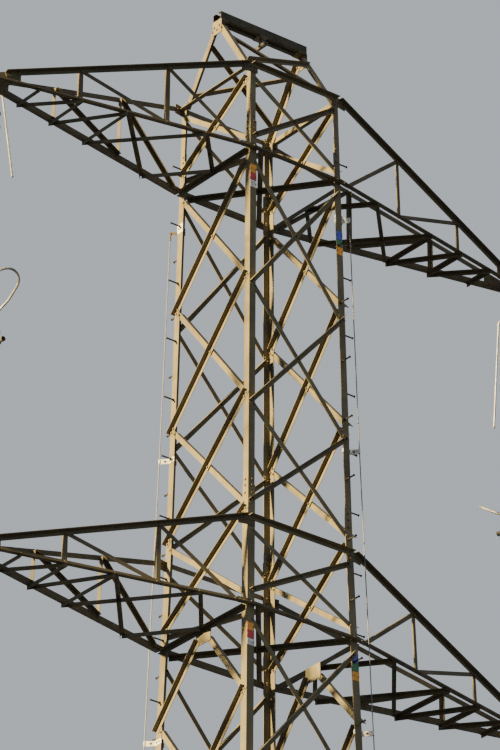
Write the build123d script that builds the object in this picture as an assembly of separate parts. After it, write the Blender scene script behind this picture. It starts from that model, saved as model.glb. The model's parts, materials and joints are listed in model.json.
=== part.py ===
"""Lattice transmission pylon: a double-circuit suspension tower with three pairs of cross-arms.

Millimetres, +Z up, origin on the ground at the middle of the base. X runs across the line, along
the cross-arms, and Y runs along the line. The body is square, so each face is set out by the
two legs that bound it.
"""
import math
import os

from build123d import *

# Heights above the ground
UPPER_ARM_Z = 33000.0
ARM_SPACING = 5900.0
UPPER_ARM_RISE = 1170.0
LOWER_ARM_RISE = 1120.0
RIDGE_RISE = 880.0
WAIST_Z = 4500.0
FOOTING_TOP = 450.0

# Half widths of the body, measured to the heels of the leg angles
UPPER_HALF = 668.0
UPPER_TAPER = 0.0172
KNEE_DROP = 4635.0
HIP_DROP = 100.0
MIDDLE_TAPER = 0.0262
BASE_HALF = 3600.0

# Panel heights, from the top of each stretch downwards
UPPER_PANELS = (1720.0, 1545.0, 1370.0, 1265.0)
MIDDLE_PANEL_COUNT = 3
V_DROP = 1000.0
LOWER_PANEL_SHARES = (0.117, 0.135, 0.156, 0.177, 0.198, 0.217)
NODE_STAGGER = 75.0

# Leg angles: flange width and wall
TOP_LEG = 75.0
UPPER_LEG = 90.0
MIDDLE_LEG = 100.0
LOWER_LEG = 130.0
BODY_WALL = 9.0
LOWER_WALL = 12.0
TOP_SPLICE_RISE = 400.0
KNEE_SPLICE_RISE = 260.0
SPLICE_LENGTH = 300.0
SPLICE_WALL = 8.0
LEG_TOP_RISE = 20.0

# Bracing angles: flange width and wall
BODY_BAR = (60.0, 6.0)
LOWER_BAR = (80.0, 7.0)
FOOT_BAR = (90.0, 8.0)
TIE_BAR = (50.0, 5.0)
HEAVY_BAR = (95.0, 8.0)
ROOT_BAR = (58.0, 6.0)
RAFTER_BAR = (70.0, 7.0)
PACKER = 38.0

# Where a brace ends on a leg: distance from the heel, and from the level of an arm
OUTER_INSET = 14.0
ARM_INSET = 44.0
ROOT_INSET = 30.0
INNER_INSET = 70.0
GAP_ABOVE = 180.0
GAP_BELOW = 150.0
TOP_GAP = 165.0
KNEE_GAP = 30.0
HORIZONTAL_INSET = 52.0
PLAN_INSET = 130.0
PLAN_LAP = 30.0

# Plates at the middle of a face: under or over an arm's root bar, and at the waist
V_PLATE_HALF = 130.0
V_PLATE_DOWN = 190.0
V_PLATE_UP = 150.0
V_HEAD_HALF = 70.0
V_END_CLEARANCE = 55.0
K_PLATE_HALF = 260.0
K_PLATE_DEPTH = 330.0
K_HEAD_HALF = 150.0
K_HEAD_DROP = 190.0
K_FOOT_RISE = 160.0
K_TIES = ((0.36, 0.0), (0.36, 900.0), (0.66, 0.0))

# Cross-arms
UPPER_ARM_REACH = 3950.0
LOWER_ARM_REACH = 4060.0
TIP_HALF = 40.0
CHORD = (60.0, 7.0)
ARM_BAR = (50.0, 5.0)
CHORD_SETBACK = 6.0
TOP_CHORD_STOP = 240.0
TIE_SETBACK = 10.0
GUSSET = 8.0
GUSSET_LEG = 96.0
GUSSET_ARM = 120.0
GUSSET_LOW = 74.0
GUSSET_HIGH = 125.0
POST_SHARES = (0.35, 0.68)
STRUT_SHARES = (0.19, 0.35, 0.52)
K_SHARE = 0.82
ROOT_BRACE_SHARE = 0.96
CLEARANCE = 0.3
FLOOR_LAP = 60.0
TIP_PLATE = (330.0, 240.0, 10.0)
TIP_PLATE_OVERHANG = 40.0
TIP_GUSSET_LENGTH = 420.0
LUG_WALL = 16.0
LUG_DROP = 130.0
LUG_TOP = 170.0
LUG_FOOT = 60.0

# Insulator strings
DISC_COUNT = 15
DISC_PITCH = 170.0
DISC_RADIUS = 140.0
DISC_DEPTH = 62.0
CORE_RADIUS = 45.0
DISC_SIDES = 6
FORK_STRAP = (50.0, 10.0)
FORK_DROP = 70.0
FORK_BLOCK = 34.0
LINK_LENGTH = 150.0
LINK_RADIUS = 14.0
LINK_SIDES = 4
YOKE_WIDTH = 480.0
YOKE_HEIGHT = 160.0
YOKE_SHOULDER = 60.0
YOKE_WALL = 18.0
CLAMP_SPACING = 400.0
CLAMP_LENGTH = 260.0
CLAMP_RADIUS = 34.0
CLAMP_SIDES = 6
CLAMP_STRAP = (30.0, 14.0)
CLAMP_DROP = 110.0
WIRE_RADIUS = 15.0

# Peak
RIDGE_WIDTH = 150.0
RIDGE_DEPTH = 100.0
RIDGE_FLANGE = 50.0
RIDGE_WALL = 7.0
APEX_HALF = 85.0
APEX_DEPTH = 175.0
APEX_GAP = 55.0
APEX_DROP = 95.0
RAFTER_FOOT_DROP = 45.0
SEAT_WALL = 8.0
SEAT_LENGTH = 110.0
HIP_FOOT_SHARE = 0.16
HIP_HEAD_SHARE = 0.80
HIP_INSET = 42.0
EARTH_PLATE = (120.0, 150.0, 10.0)
EARTH_LUG = (30.0, 110.0, 14.0)
EARTH_CLAMP_LENGTH = 220.0
EARTH_CLAMP_RADIUS = 32.0

# Footings
FOOTING_BASE = 1000.0
FOOTING_CAP = 560.0
LEG_EMBEDMENT = 300.0

# Climbing line beside two of the legs
LINE_RADIUS = 6.0
LINE_SIDES = 4
LINE_OFFSET = 112.0
LINE_FOOT_Z = 2600.0
LINE_TOP_Z = 33600.0
BRACKET_REACH = 55.0
BRACKET_NOSE = (8.0, 14.0)
BRACKET_WALL = 8.0
BRACKET_LEVELS = (32500.0, 29480.0, 25950.0, 22700.0, 19900.0, 17200.0, 14650.0, 11700.0, 8350.0, 5600.0, 2900.0)

UP = Vector(0, 0, 1)
DOWN = Vector(0, 0, -1)

# Levels worked out from the sizes above
MIDDLE_ARM_Z = UPPER_ARM_Z - ARM_SPACING
BOTTOM_ARM_Z = MIDDLE_ARM_Z - ARM_SPACING
CAGE_TOP_Z = UPPER_ARM_Z + UPPER_ARM_RISE
RIDGE_Z = CAGE_TOP_Z + RIDGE_RISE
KNEE_Z = UPPER_ARM_Z - KNEE_DROP
LEG_TOP_Z = CAGE_TOP_Z + LEG_TOP_RISE
LEG_FOOT_Z = FOOTING_TOP - LEG_EMBEDMENT
KNEE_HALF = UPPER_HALF + UPPER_TAPER * KNEE_DROP
HIP_Z = BOTTOM_ARM_Z - HIP_DROP
HIP_HALF = KNEE_HALF + MIDDLE_TAPER * (KNEE_Z - HIP_Z)
LOWER_TAPER = (BASE_HALF - HIP_HALF) / HIP_Z
MIDDLE_PANEL = ARM_SPACING / MIDDLE_PANEL_COUNT
HIGH_V_Z = MIDDLE_ARM_Z - V_DROP
LOW_V_Z = HIGH_V_Z - (MIDDLE_PANEL_COUNT - 1) * MIDDLE_PANEL

# Each leg by the signs of its X and Y, and each face by the legs it runs from and to:
# a brace outside the legs falls from the first leg to the second
NEAR_LEFT, FAR_LEFT, FAR_RIGHT, NEAR_RIGHT = (-1, -1), (-1, 1), (1, 1), (1, -1)
LEGS = {
    "front_left": NEAR_LEFT,
    "back_left": FAR_LEFT,
    "back_right": FAR_RIGHT,
    "front_right": NEAR_RIGHT,
}
FACES = {
    "left": (NEAR_LEFT, FAR_LEFT),
    "back": (FAR_LEFT, FAR_RIGHT),
    "right": (FAR_RIGHT, NEAR_RIGHT),
    "front": (NEAR_RIGHT, NEAR_LEFT),
}
SIDES = {"left": -1, "right": 1}
ARMS = {
    "upper": (UPPER_ARM_Z, UPPER_ARM_RISE, UPPER_ARM_REACH),
    "middle": (MIDDLE_ARM_Z, LOWER_ARM_RISE, LOWER_ARM_REACH),
    "bottom": (BOTTOM_ARM_Z, LOWER_ARM_RISE, LOWER_ARM_REACH),
}


def half_width(z):
    """Half the width of the body at a height, on one of its three tapers."""
    if z >= KNEE_Z:
        return UPPER_HALF + UPPER_TAPER * (UPPER_ARM_Z - z)
    if z >= HIP_Z:
        return KNEE_HALF + MIDDLE_TAPER * (KNEE_Z - z)
    return HIP_HALF + LOWER_TAPER * (HIP_Z - z)


def wall_at(z):
    """Wall of the leg angle at a height."""
    return BODY_WALL if z >= HIP_Z else LOWER_WALL


def heel(leg, z):
    """Point on the outer corner of a leg."""
    half = half_width(z)
    return Vector(leg[0] * half, leg[1] * half, z)


def outward(face):
    """Horizontal unit vector out of a face."""
    first, second = FACES[face]
    return Vector((first[0] + second[0]) / 2, (first[1] + second[1]) / 2, 0)


def along(face):
    """Horizontal unit vector from the first leg of a face to the second."""
    first, second = FACES[face]
    return Vector((second[0] - first[0]) / 2, (second[1] - first[1]) / 2, 0)


def plane_normal(a, b, c, hint):
    """Unit normal of the plane through three points, on the side of the hint."""
    normal = (b - a).cross(c - a).normalized()
    return normal if normal.dot(hint) > 0 else normal * -1


def face_normal(face, z_top, z_bottom):
    """Normal of a face plane between two heights of one taper."""
    first, second = FACES[face]
    return plane_normal(heel(first, z_top), heel(second, z_top), heel(first, z_bottom), outward(face))


def face_point(face, index, z, inset, depth=0.0):
    """Point on a face, a distance in from one of its legs and a depth inside its plane."""
    inward = along(face) * (inset if index == 0 else -inset)
    return heel(FACES[face][index], z) + inward - outward(face) * depth


def angle_bar(start, end, normal, size, toward):
    """Rolled angle: one flange lies on the plane that faces the normal, centred on the line, and the
    other stands out along the normal from the edge on the given side."""
    width, wall = size
    path = end - start
    run = path.normalized()
    normal = (normal - run * normal.dot(run)).normalized()
    across = normal.cross(run)
    side = 1 if across.dot(toward) > 0 else -1
    frame = Plane(origin=start, x_dir=across, z_dir=run)
    edge = side * width / 2
    outline = [
        (-edge, 0),
        (edge, 0),
        (edge, width),
        (edge - side * wall, width),
        (edge - side * wall, wall),
        (-edge, wall),
    ]
    return extrude(frame * make_face(Polyline(*outline, close=True)), amount=path.length)


def flat_plate(corner, x_dir, y_dir, outline, normal, thickness):
    """Plate with an outline drawn from a corner in two directions, thickened towards the normal."""
    frame = Plane(origin=corner, x_dir=x_dir, z_dir=x_dir.cross(y_dir))
    amount = thickness if frame.z_dir.dot(normal) > 0 else -thickness
    return extrude(frame * make_face(Polyline(*outline, close=True)), amount=amount)


def box_outline(x_low, x_high, y_low, y_high):
    """Corners of a rectangle, in order."""
    return [(x_low, y_low), (x_high, y_low), (x_high, y_high), (x_low, y_high)]


def crossing(a_start, a_end, b_start, b_end):
    """Point on the first line where it passes nearest to the second."""
    a_run = a_end - a_start
    b_run = b_end - b_start
    across = a_run.cross(b_run)
    share = (b_start - a_start).cross(b_run).dot(across) / across.dot(across)
    return a_start + a_run * share


def packer(point, normal, thickness, size=PACKER):
    """Square washer plate that fills the gap between two crossing braces."""
    frame = Plane(origin=point, z_dir=normal)
    return extrude(frame * Rectangle(size, size), amount=thickness)


def crossed_pair(outer, inner, normal, size):
    """Two crossing braces, one on each side of the leg flanges, bolted through a packer."""
    outer_bar = angle_bar(outer[0], outer[1], normal, size, UP)
    inner_bar = angle_bar(inner[0], inner[1], normal * -1, size, UP)
    inner_point = crossing(inner[0], inner[1], outer[0], outer[1])
    outer_point = crossing(outer[0], outer[1], inner[0], inner[1])
    gap = (outer_point - inner_point).dot(normal)
    return [outer_bar, inner_bar, packer(inner_point, normal, gap)]


def x_panel(face, z_top, z_bottom, size, top_inset=OUTER_INSET, bottom_inset=OUTER_INSET, gaps=(0, 0)):
    """Crossed braces of one face between two levels; gaps keep them off the level's own bars."""
    normal = face_normal(face, z_top, z_bottom)
    wall = wall_at(z_bottom)
    high = z_top - gaps[0]
    low = z_bottom + gaps[1]
    outer = (face_point(face, 0, high, top_inset), face_point(face, 1, low, bottom_inset))
    inner = (
        face_point(face, 1, high, INNER_INSET, wall),
        face_point(face, 0, low, INNER_INSET, wall),
    )
    return crossed_pair(outer, inner, normal, size)


def face_tie(face, z, size, inset, depth, toward):
    """Horizontal angle between the two legs of a face, its top edge at the given height: its web lies
    at a depth inside the face, and the other flange stands away from the legs."""
    normal = face_normal(face, z, z - size[0])
    middle = z - size[0] / 2
    start = face_point(face, 0, middle, inset, depth)
    end = face_point(face, 1, middle, inset, depth)
    return angle_bar(start, end, normal * (-1 if depth > 0 else 1), size, toward)


def chord_tie(face, z, toward):
    """Horizontal that carries the line of the arms' chords across the front or back, over the root plates."""
    return face_tie(face, z, CHORD, TIE_SETBACK, -GUSSET - CLEARANCE, toward)


def leg_stretch(leg, z_top, z_bottom, width, wall):
    """Leg angle between two heights, sheared to the taper with its flanges in the two faces."""
    low = heel(leg, z_bottom)
    high = heel(leg, z_top)
    sx, sy = -leg[0], -leg[1]
    outline = [
        (low.X, low.Y),
        (low.X + sx * width, low.Y),
        (low.X + sx * width, low.Y + sy * wall),
        (low.X + sx * wall, low.Y + sy * wall),
        (low.X + sx * wall, low.Y + sy * width),
        (low.X, low.Y + sy * width),
    ]
    path = high - low
    profile = Pos(0, 0, z_bottom) * make_face(Polyline(*outline, close=True))
    return extrude(profile, amount=path.length, dir=path.normalized())


def splice_cover(leg, z_bottom, width, wall):
    """Angle cover plate nested inside a leg joint."""
    low = heel(leg, z_bottom)
    path = heel(leg, z_bottom + SPLICE_LENGTH) - low
    sx, sy = -leg[0], -leg[1]
    inner = wall + SPLICE_WALL
    outline = [
        (low.X + sx * wall, low.Y + sy * wall),
        (low.X + sx * width, low.Y + sy * wall),
        (low.X + sx * width, low.Y + sy * inner),
        (low.X + sx * inner, low.Y + sy * inner),
        (low.X + sx * inner, low.Y + sy * width),
        (low.X + sx * wall, low.Y + sy * width),
    ]
    profile = Pos(0, 0, z_bottom) * make_face(Polyline(*outline, close=True))
    return extrude(profile, amount=path.length, dir=path.normalized())


def leg_member(leg):
    """One leg from its foot to the cage top: four stretches of angle and two splices."""
    top_splice = UPPER_ARM_Z + TOP_SPLICE_RISE
    knee_splice = KNEE_Z + KNEE_SPLICE_RISE
    stretches = [
        leg_stretch(leg, LEG_TOP_Z, top_splice, TOP_LEG, BODY_WALL),
        leg_stretch(leg, top_splice, knee_splice, UPPER_LEG, BODY_WALL),
        leg_stretch(leg, knee_splice, KNEE_Z, MIDDLE_LEG, BODY_WALL),
        leg_stretch(leg, KNEE_Z, HIP_Z, MIDDLE_LEG, BODY_WALL),
        leg_stretch(leg, HIP_Z, LEG_FOOT_Z, LOWER_LEG, LOWER_WALL),
        splice_cover(leg, top_splice - SPLICE_LENGTH / 2, TOP_LEG, BODY_WALL),
        splice_cover(leg, knee_splice - SPLICE_LENGTH / 2, UPPER_LEG, BODY_WALL),
    ]
    return stretches


def footing(leg):
    """Concrete cap around the foot of a leg, with the pocket that the leg stands in."""
    foot = heel(leg, LEG_FOOT_Z)
    inward = LOWER_LEG / 3
    centre = Vector(foot.X - leg[0] * inward, foot.Y - leg[1] * inward, 0)
    slope = math.degrees(math.atan((FOOTING_BASE - FOOTING_CAP) / 2 / FOOTING_TOP))
    base = Pos(centre.X, centre.Y, 0) * Rectangle(FOOTING_BASE, FOOTING_BASE)
    block = extrude(base, amount=FOOTING_TOP, taper=slope)
    return [block - leg_stretch(leg, FOOTING_TOP + LEG_EMBEDMENT, LEG_FOOT_Z, LOWER_LEG, LOWER_WALL)]


def upper_levels():
    """Heights of the panel points between the upper and the middle arms."""
    levels = [UPPER_ARM_Z]
    share = ARM_SPACING / sum(UPPER_PANELS)
    for height in UPPER_PANELS[:-1]:
        levels.append(levels[-1] - height * share)
    levels.append(MIDDLE_ARM_Z)
    return levels


def stagger(face):
    """Braces meet a leg higher on its left and right faces than on its front and back."""
    return NODE_STAGGER if face in ("left", "right") else -NODE_STAGGER


def panel_end(z, below, shift):
    """How far a brace stops from a level: below or above it, or moved with its node."""
    if z in (UPPER_ARM_Z, MIDDLE_ARM_Z, BOTTOM_ARM_Z):
        return -GAP_BELOW if below else GAP_ABOVE
    if z in (CAGE_TOP_Z, WAIST_Z):
        return -GAP_ABOVE if below else GAP_ABOVE
    if z == KNEE_Z:
        return -KNEE_GAP if below else KNEE_GAP
    return shift


def end_inset(z):
    """Braces stop further in from the heel where cross-arms or frames meet the legs."""
    crowded = (CAGE_TOP_Z, UPPER_ARM_Z, MIDDLE_ARM_Z, BOTTOM_ARM_Z, LOW_V_Z)
    return ARM_INSET if z in crowded else OUTER_INSET


def panel_stack(face, levels, size, shift=0.0):
    """Crossed panels of one face between each pair of neighbouring levels."""
    bars = []
    for high, low in zip(levels, levels[1:]):
        z_top = high + panel_end(high, True, shift)
        z_bottom = low + panel_end(low, False, shift)
        bars += x_panel(face, z_top, z_bottom, size, end_inset(high), end_inset(low))
    return bars


def body_face(face):
    """Bracing of one face from the bottom arm to the cage top."""
    bars = panel_stack(face, [CAGE_TOP_Z, UPPER_ARM_Z], BODY_BAR)
    if face in ("left", "right"):
        bars += panel_stack(face, upper_levels(), BODY_BAR, stagger(face))
        levels = [HIGH_V_Z - step * MIDDLE_PANEL for step in range(MIDDLE_PANEL_COUNT - 1)]
        bars += panel_stack(face, levels + [LOW_V_Z], BODY_BAR)
        bars += v_brace(face, MIDDLE_ARM_Z, HIGH_V_Z)
        bars += v_brace(face, BOTTOM_ARM_Z, LOW_V_Z)
        bars.append(face_tie(face, CAGE_TOP_Z, ROOT_BAR, OUTER_INSET, 0.0, DOWN))
    else:
        bars += panel_stack(face, upper_levels()[:-1], BODY_BAR, stagger(face))
        head = MIDDLE_ARM_Z + LOWER_ARM_RISE - TOP_GAP
        bars += x_panel(face, head, MIDDLE_ARM_Z + GAP_ABOVE, BODY_BAR, ARM_INSET, ARM_INSET)
        levels = [MIDDLE_ARM_Z - step * MIDDLE_PANEL for step in range(MIDDLE_PANEL_COUNT)]
        bars += panel_stack(face, levels + [BOTTOM_ARM_Z], BODY_BAR)
        for z in (CAGE_TOP_Z, MIDDLE_ARM_Z + LOWER_ARM_RISE, BOTTOM_ARM_Z + LOWER_ARM_RISE):
            bars.append(chord_tie(face, z, UP))
    return bars


def v_brace(face, arm_z, leg_z):
    """Two braces from the middle of an arm's root bar to the legs, joined by a plate at the middle."""
    normal = face_normal(face, max(arm_z, leg_z), min(arm_z, leg_z))
    rises = leg_z > arm_z
    head_z = arm_z + (V_PLATE_UP - V_END_CLEARANCE if rises else V_END_CLEARANCE - V_PLATE_DOWN)
    half = half_width(head_z)
    outer_ends = (
        face_point(face, 0 if rises else 1, leg_z, end_inset(leg_z)),
        face_point(face, 0 if rises else 1, head_z, half - V_HEAD_HALF),
    )
    inner_ends = (
        face_point(face, 1 if rises else 0, leg_z, INNER_INSET, BODY_WALL),
        face_point(face, 1 if rises else 0, head_z, half - V_HEAD_HALF, BODY_WALL),
    )
    low = arm_z - (ROOT_BAR[0] if rises else V_PLATE_DOWN)
    high = arm_z + (V_PLATE_UP if rises else 0.0)
    middle = face_point(face, 0, low, half_width(low), BODY_WALL)
    upward = normal.cross(along(face))
    upward = upward if upward.Z > 0 else upward * -1
    plate = flat_plate(
        middle,
        along(face),
        upward,
        box_outline(-V_PLATE_HALF, V_PLATE_HALF, 0, high - low),
        normal,
        BODY_WALL * Vector(normal.X, normal.Y, 0).length,
    )
    return [
        angle_bar(*outer_ends, normal, BODY_BAR, UP),
        angle_bar(*inner_ends, normal * -1, BODY_BAR, UP),
        plate,
    ]


def lower_levels():
    """Heights of the panel points between the bottom arm and the waist."""
    levels = [BOTTOM_ARM_Z]
    for share in LOWER_PANEL_SHARES[:-1]:
        levels.append(levels[-1] - share / sum(LOWER_PANEL_SHARES) * (BOTTOM_ARM_Z - WAIST_Z))
    levels.append(WAIST_Z)
    return levels


def foot_bracing(leg):
    """K braces and their ties from the waist to one footing, on both faces of the leg."""
    shapes = []
    for face, ends in FACES.items():
        if leg not in ends:
            continue
        index = ends.index(leg)
        normal = face_normal(face, WAIST_Z, FOOTING_TOP)
        head_z = WAIST_Z - K_HEAD_DROP
        foot_z = FOOTING_TOP + K_FOOT_RISE
        head = face_point(face, index, head_z, half_width(head_z) - K_HEAD_HALF)
        foot = face_point(face, index, foot_z, ARM_INSET)
        shapes.append(angle_bar(foot, head, normal, FOOT_BAR, UP))
        for share, rise in K_TIES:
            joint = foot + (head - foot) * share
            on_leg = face_point(face, index, joint.Z + rise, ARM_INSET)
            shapes.append(angle_bar(joint, on_leg, normal, TIE_BAR, UP))
    return shapes


def waist_frame():
    """Horizontal frame that joins the four faces above the feet, with its plan bracing."""
    shapes = []
    half = half_width(WAIST_Z)
    for face in FACES:
        shapes.append(face_tie(face, WAIST_Z, HEAVY_BAR, HORIZONTAL_INSET, LOWER_WALL, UP))
        normal = face_normal(face, WAIST_Z, FOOTING_TOP)
        low = WAIST_Z - K_PLATE_DEPTH
        upward = normal.cross(along(face))
        upward = upward if upward.Z > 0 else upward * -1
        shapes.append(
            flat_plate(
                face_point(face, 0, low, half_width(low), LOWER_WALL),
                along(face),
                upward,
                box_outline(-K_PLATE_HALF, K_PLATE_HALF, 0, K_PLATE_DEPTH),
                normal,
                LOWER_WALL * Vector(normal.X, normal.Y, 0).length,
            )
        )
    reach = half - LOWER_WALL - HEAVY_BAR[0] / 2
    corners = [Vector(x * reach, y * reach, WAIST_Z) for x, y in ((-1, 0), (0, -1), (1, 0), (0, 1))]
    for start, end in zip(corners, corners[1:] + corners[:1]):
        shapes.append(angle_bar(start, end, DOWN, BODY_BAR, start + end))
    shapes.append(angle_bar(corners[0], corners[2], DOWN, BODY_BAR, Vector(0, 1, 0)))
    shapes.append(angle_bar(corners[1], corners[3], DOWN, BODY_BAR, Vector(1, 0, 0)))
    return shapes


class Truss:
    """One upright side of a cross-arm: the plane through a leg heel and the arm tip."""

    def __init__(self, level, leg):
        arm_z, rise, reach = ARMS[level]
        self.leg = leg
        self.root = heel(leg, arm_z)
        self.root_top = heel(leg, arm_z + rise)
        self.tip = Vector(leg[0] * reach, leg[1] * TIP_HALF, arm_z)
        self.normal = plane_normal(self.root, self.root_top, self.tip, Vector(0, leg[1], 0))
        self.run = (self.tip - self.root).normalized()
        up = self.normal.cross(self.run)
        self.up = up if up.Z > 0 else up * -1
        self.cover = self.normal * GUSSET
        self.floor_z = arm_z - CLEARANCE

    def bottom_point(self, share):
        """Point on the bottom chord's web, on its inner face, from 0 at the tip to 1 at the leg."""
        return self.tip + (self.root - self.tip) * share + self.up * (CHORD[0] / 2) + self.cover

    def top_point(self, share):
        """Point on the top chord's web, on its inner face."""
        high = self.root_top - self.up * (CHORD[0] / 2)
        low = self.tip + self.up * (CHORD[0] / 2)
        return low + (high - low) * share + self.cover

    def floor_point(self, share):
        """Point under the bottom chord's outer flange."""
        point = self.tip + (self.root - self.tip) * share
        return Vector(point.X, point.Y + self.leg[1] * FLOOR_LAP, self.floor_z)

    def shapes(self):
        """Chords, posts, diagonals, tip plate and the bent plates that fix the chords to the leg."""
        inside = self.normal * -1
        top_run = (self.top_point(0) - self.top_point(1)).normalized()
        low_end = self.bottom_point(1) + self.run * CHORD_SETBACK
        top_end = self.top_point(1) + top_run * CHORD_SETBACK
        shapes = [
            angle_bar(low_end, self.bottom_point(0), self.normal, CHORD, DOWN),
            angle_bar(top_end, self.top_point(0) - top_run * TOP_CHORD_STOP, self.normal, CHORD, UP),
            self.tip_gusset(),
        ]
        feet = [self.bottom_point(share) for share in POST_SHARES]
        heads = [self.top_point(share) for share in POST_SHARES]
        shapes += [angle_bar(foot, head, inside, ARM_BAR, self.run) for foot, head in zip(feet, heads)]
        braces = [(heads[0], feet[1]), (heads[1], self.bottom_point(ROOT_BRACE_SHARE))]
        shapes += [angle_bar(head, foot, inside, ARM_BAR, UP) for head, foot in braces]
        shapes += [self.root_gusset(self.root, 0.0, GUSSET_LOW)]
        shapes += [self.root_gusset(self.root_top, -GUSSET_HIGH, GUSSET_HIGH)]
        return shapes

    def tip_gusset(self):
        """Plate behind the meeting chords, inside the truss plane."""
        slope = (self.top_point(1) - self.top_point(0)).dot(self.up) / (self.root - self.tip).length
        high = CHORD[0] + slope * TIP_GUSSET_LENGTH
        outline = [(0, 0), (TIP_GUSSET_LENGTH, 0), (TIP_GUSSET_LENGTH, high), (0, CHORD[0])]
        return flat_plate(self.tip + self.cover, self.run * -1, self.up, outline, self.normal * -1, GUSSET)

    def root_gusset(self, root, rise, height):
        """Bent plate on the leg flange and the chord, folded along the heel of the leg."""
        heel_run = (self.root_top - self.root).normalized()
        base = root + heel_run * rise
        on_leg = Vector(-self.leg[0], 0, 0)
        leg_out = Vector(0, self.leg[1], 0)
        arm_out = Vector(self.normal.X, self.normal.Y, 0).normalized()
        mitre = (leg_out + arm_out) * (GUSSET / (1 + leg_out.dot(arm_out)))
        corners = [
            base,
            base + on_leg * GUSSET_LEG,
            base + on_leg * GUSSET_LEG + leg_out * GUSSET,
            base + mitre,
            base + self.run * GUSSET_ARM + arm_out * GUSSET,
            base + self.run * GUSSET_ARM,
        ]
        profile = make_face(Polyline(*corners, close=True))
        return extrude(profile, amount=height, dir=heel_run)


def arm_floor(level):
    """Horizontal lattice at the bottom of a pair of arms: root bars, plan cross and both arm floors."""
    arm_z = ARMS[level][0]
    shapes = []
    for face in FACES:
        if face in ("left", "right"):
            shapes.append(face_tie(face, arm_z, ROOT_BAR, ROOT_INSET, 0.0, UP))
        else:
            shapes.append(chord_tie(face, arm_z + CHORD[0], DOWN))
    half = half_width(arm_z)
    floor_z = Truss(level, NEAR_LEFT).floor_z
    for leg in (NEAR_LEFT, FAR_LEFT):
        start = Vector(leg[0] * (half - PLAN_INSET), leg[1] * (half + PLAN_LAP), floor_z)
        end = Vector(-start.X, -start.Y, floor_z)
        shapes.append(angle_bar(start, end, DOWN, BODY_BAR, Vector(0, 1, 0)))
    for side in (-1, 1):
        shapes += arm_floor_bars(level, side)
        shapes += tip_hanger(level, side)
    return shapes


def arm_floor_bars(level, side):
    """Struts and diagonals under one arm."""
    near = Truss(level, (side, -1))
    far = Truss(level, (side, 1))
    outward_x = Vector(side, 0, 0)
    pairs = [(near.floor_point(share), far.floor_point(share)) for share in STRUT_SHARES]
    outer, middle, inner = STRUT_SHARES
    first, second = (far, near) if side < 0 else (near, far)
    pairs.append((first.floor_point(outer), second.floor_point(middle)))
    pairs.append((first.floor_point(middle), second.floor_point(inner)))
    pairs.append((near.floor_point(inner), far.floor_point(K_SHARE)))
    pairs.append((far.floor_point(inner), near.floor_point(K_SHARE)))
    root = Vector(side * (half_width(near.root.Z) + ROOT_BAR[0] / 2), 0, near.floor_z)
    pairs += [(near.floor_point(K_SHARE), root), (far.floor_point(K_SHARE), root)]
    return [angle_bar(start, end, DOWN, ARM_BAR, outward_x) for start, end in pairs]


def tip_hanger(level, side):
    """Plate under the chord ends with the lug that the insulator string hangs from."""
    truss = Truss(level, (side, -1))
    length, width, wall = TIP_PLATE
    end_x = truss.tip.X + side * TIP_PLATE_OVERHANG
    plate = Pos(end_x - side * length / 2, 0, truss.floor_z - wall / 2) * Box(length, width, wall)
    top = truss.floor_z - wall
    outline = [(-LUG_TOP / 2, 0), (LUG_TOP / 2, 0), (LUG_FOOT / 2, -LUG_DROP), (-LUG_FOOT / 2, -LUG_DROP)]
    corner = Vector(string_x(level, side), -LUG_WALL / 2, top)
    lug = flat_plate(corner, Vector(1, 0, 0), UP, outline, Vector(0, 1, 0), LUG_WALL)
    return [plate, lug]


def string_x(level, side):
    """Where an insulator string hangs."""
    reach = ARMS[level][2]
    return side * (reach + TIP_PLATE_OVERHANG - LUG_TOP / 2 - TIP_PLATE_OVERHANG / 2)


def polygon_prism(centre, radius, sides, height, axis=DOWN):
    """Straight bar with a regular outline."""
    frame = Plane(origin=centre, x_dir=(1, 0, 0), z_dir=axis)
    return extrude(frame * RegularPolygon(radius, sides), amount=height)


def string_top(level, side):
    """Foot of the lug that a string hangs from."""
    return Truss(level, (side, -1)).floor_z - TIP_PLATE[2] - LUG_DROP


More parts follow.
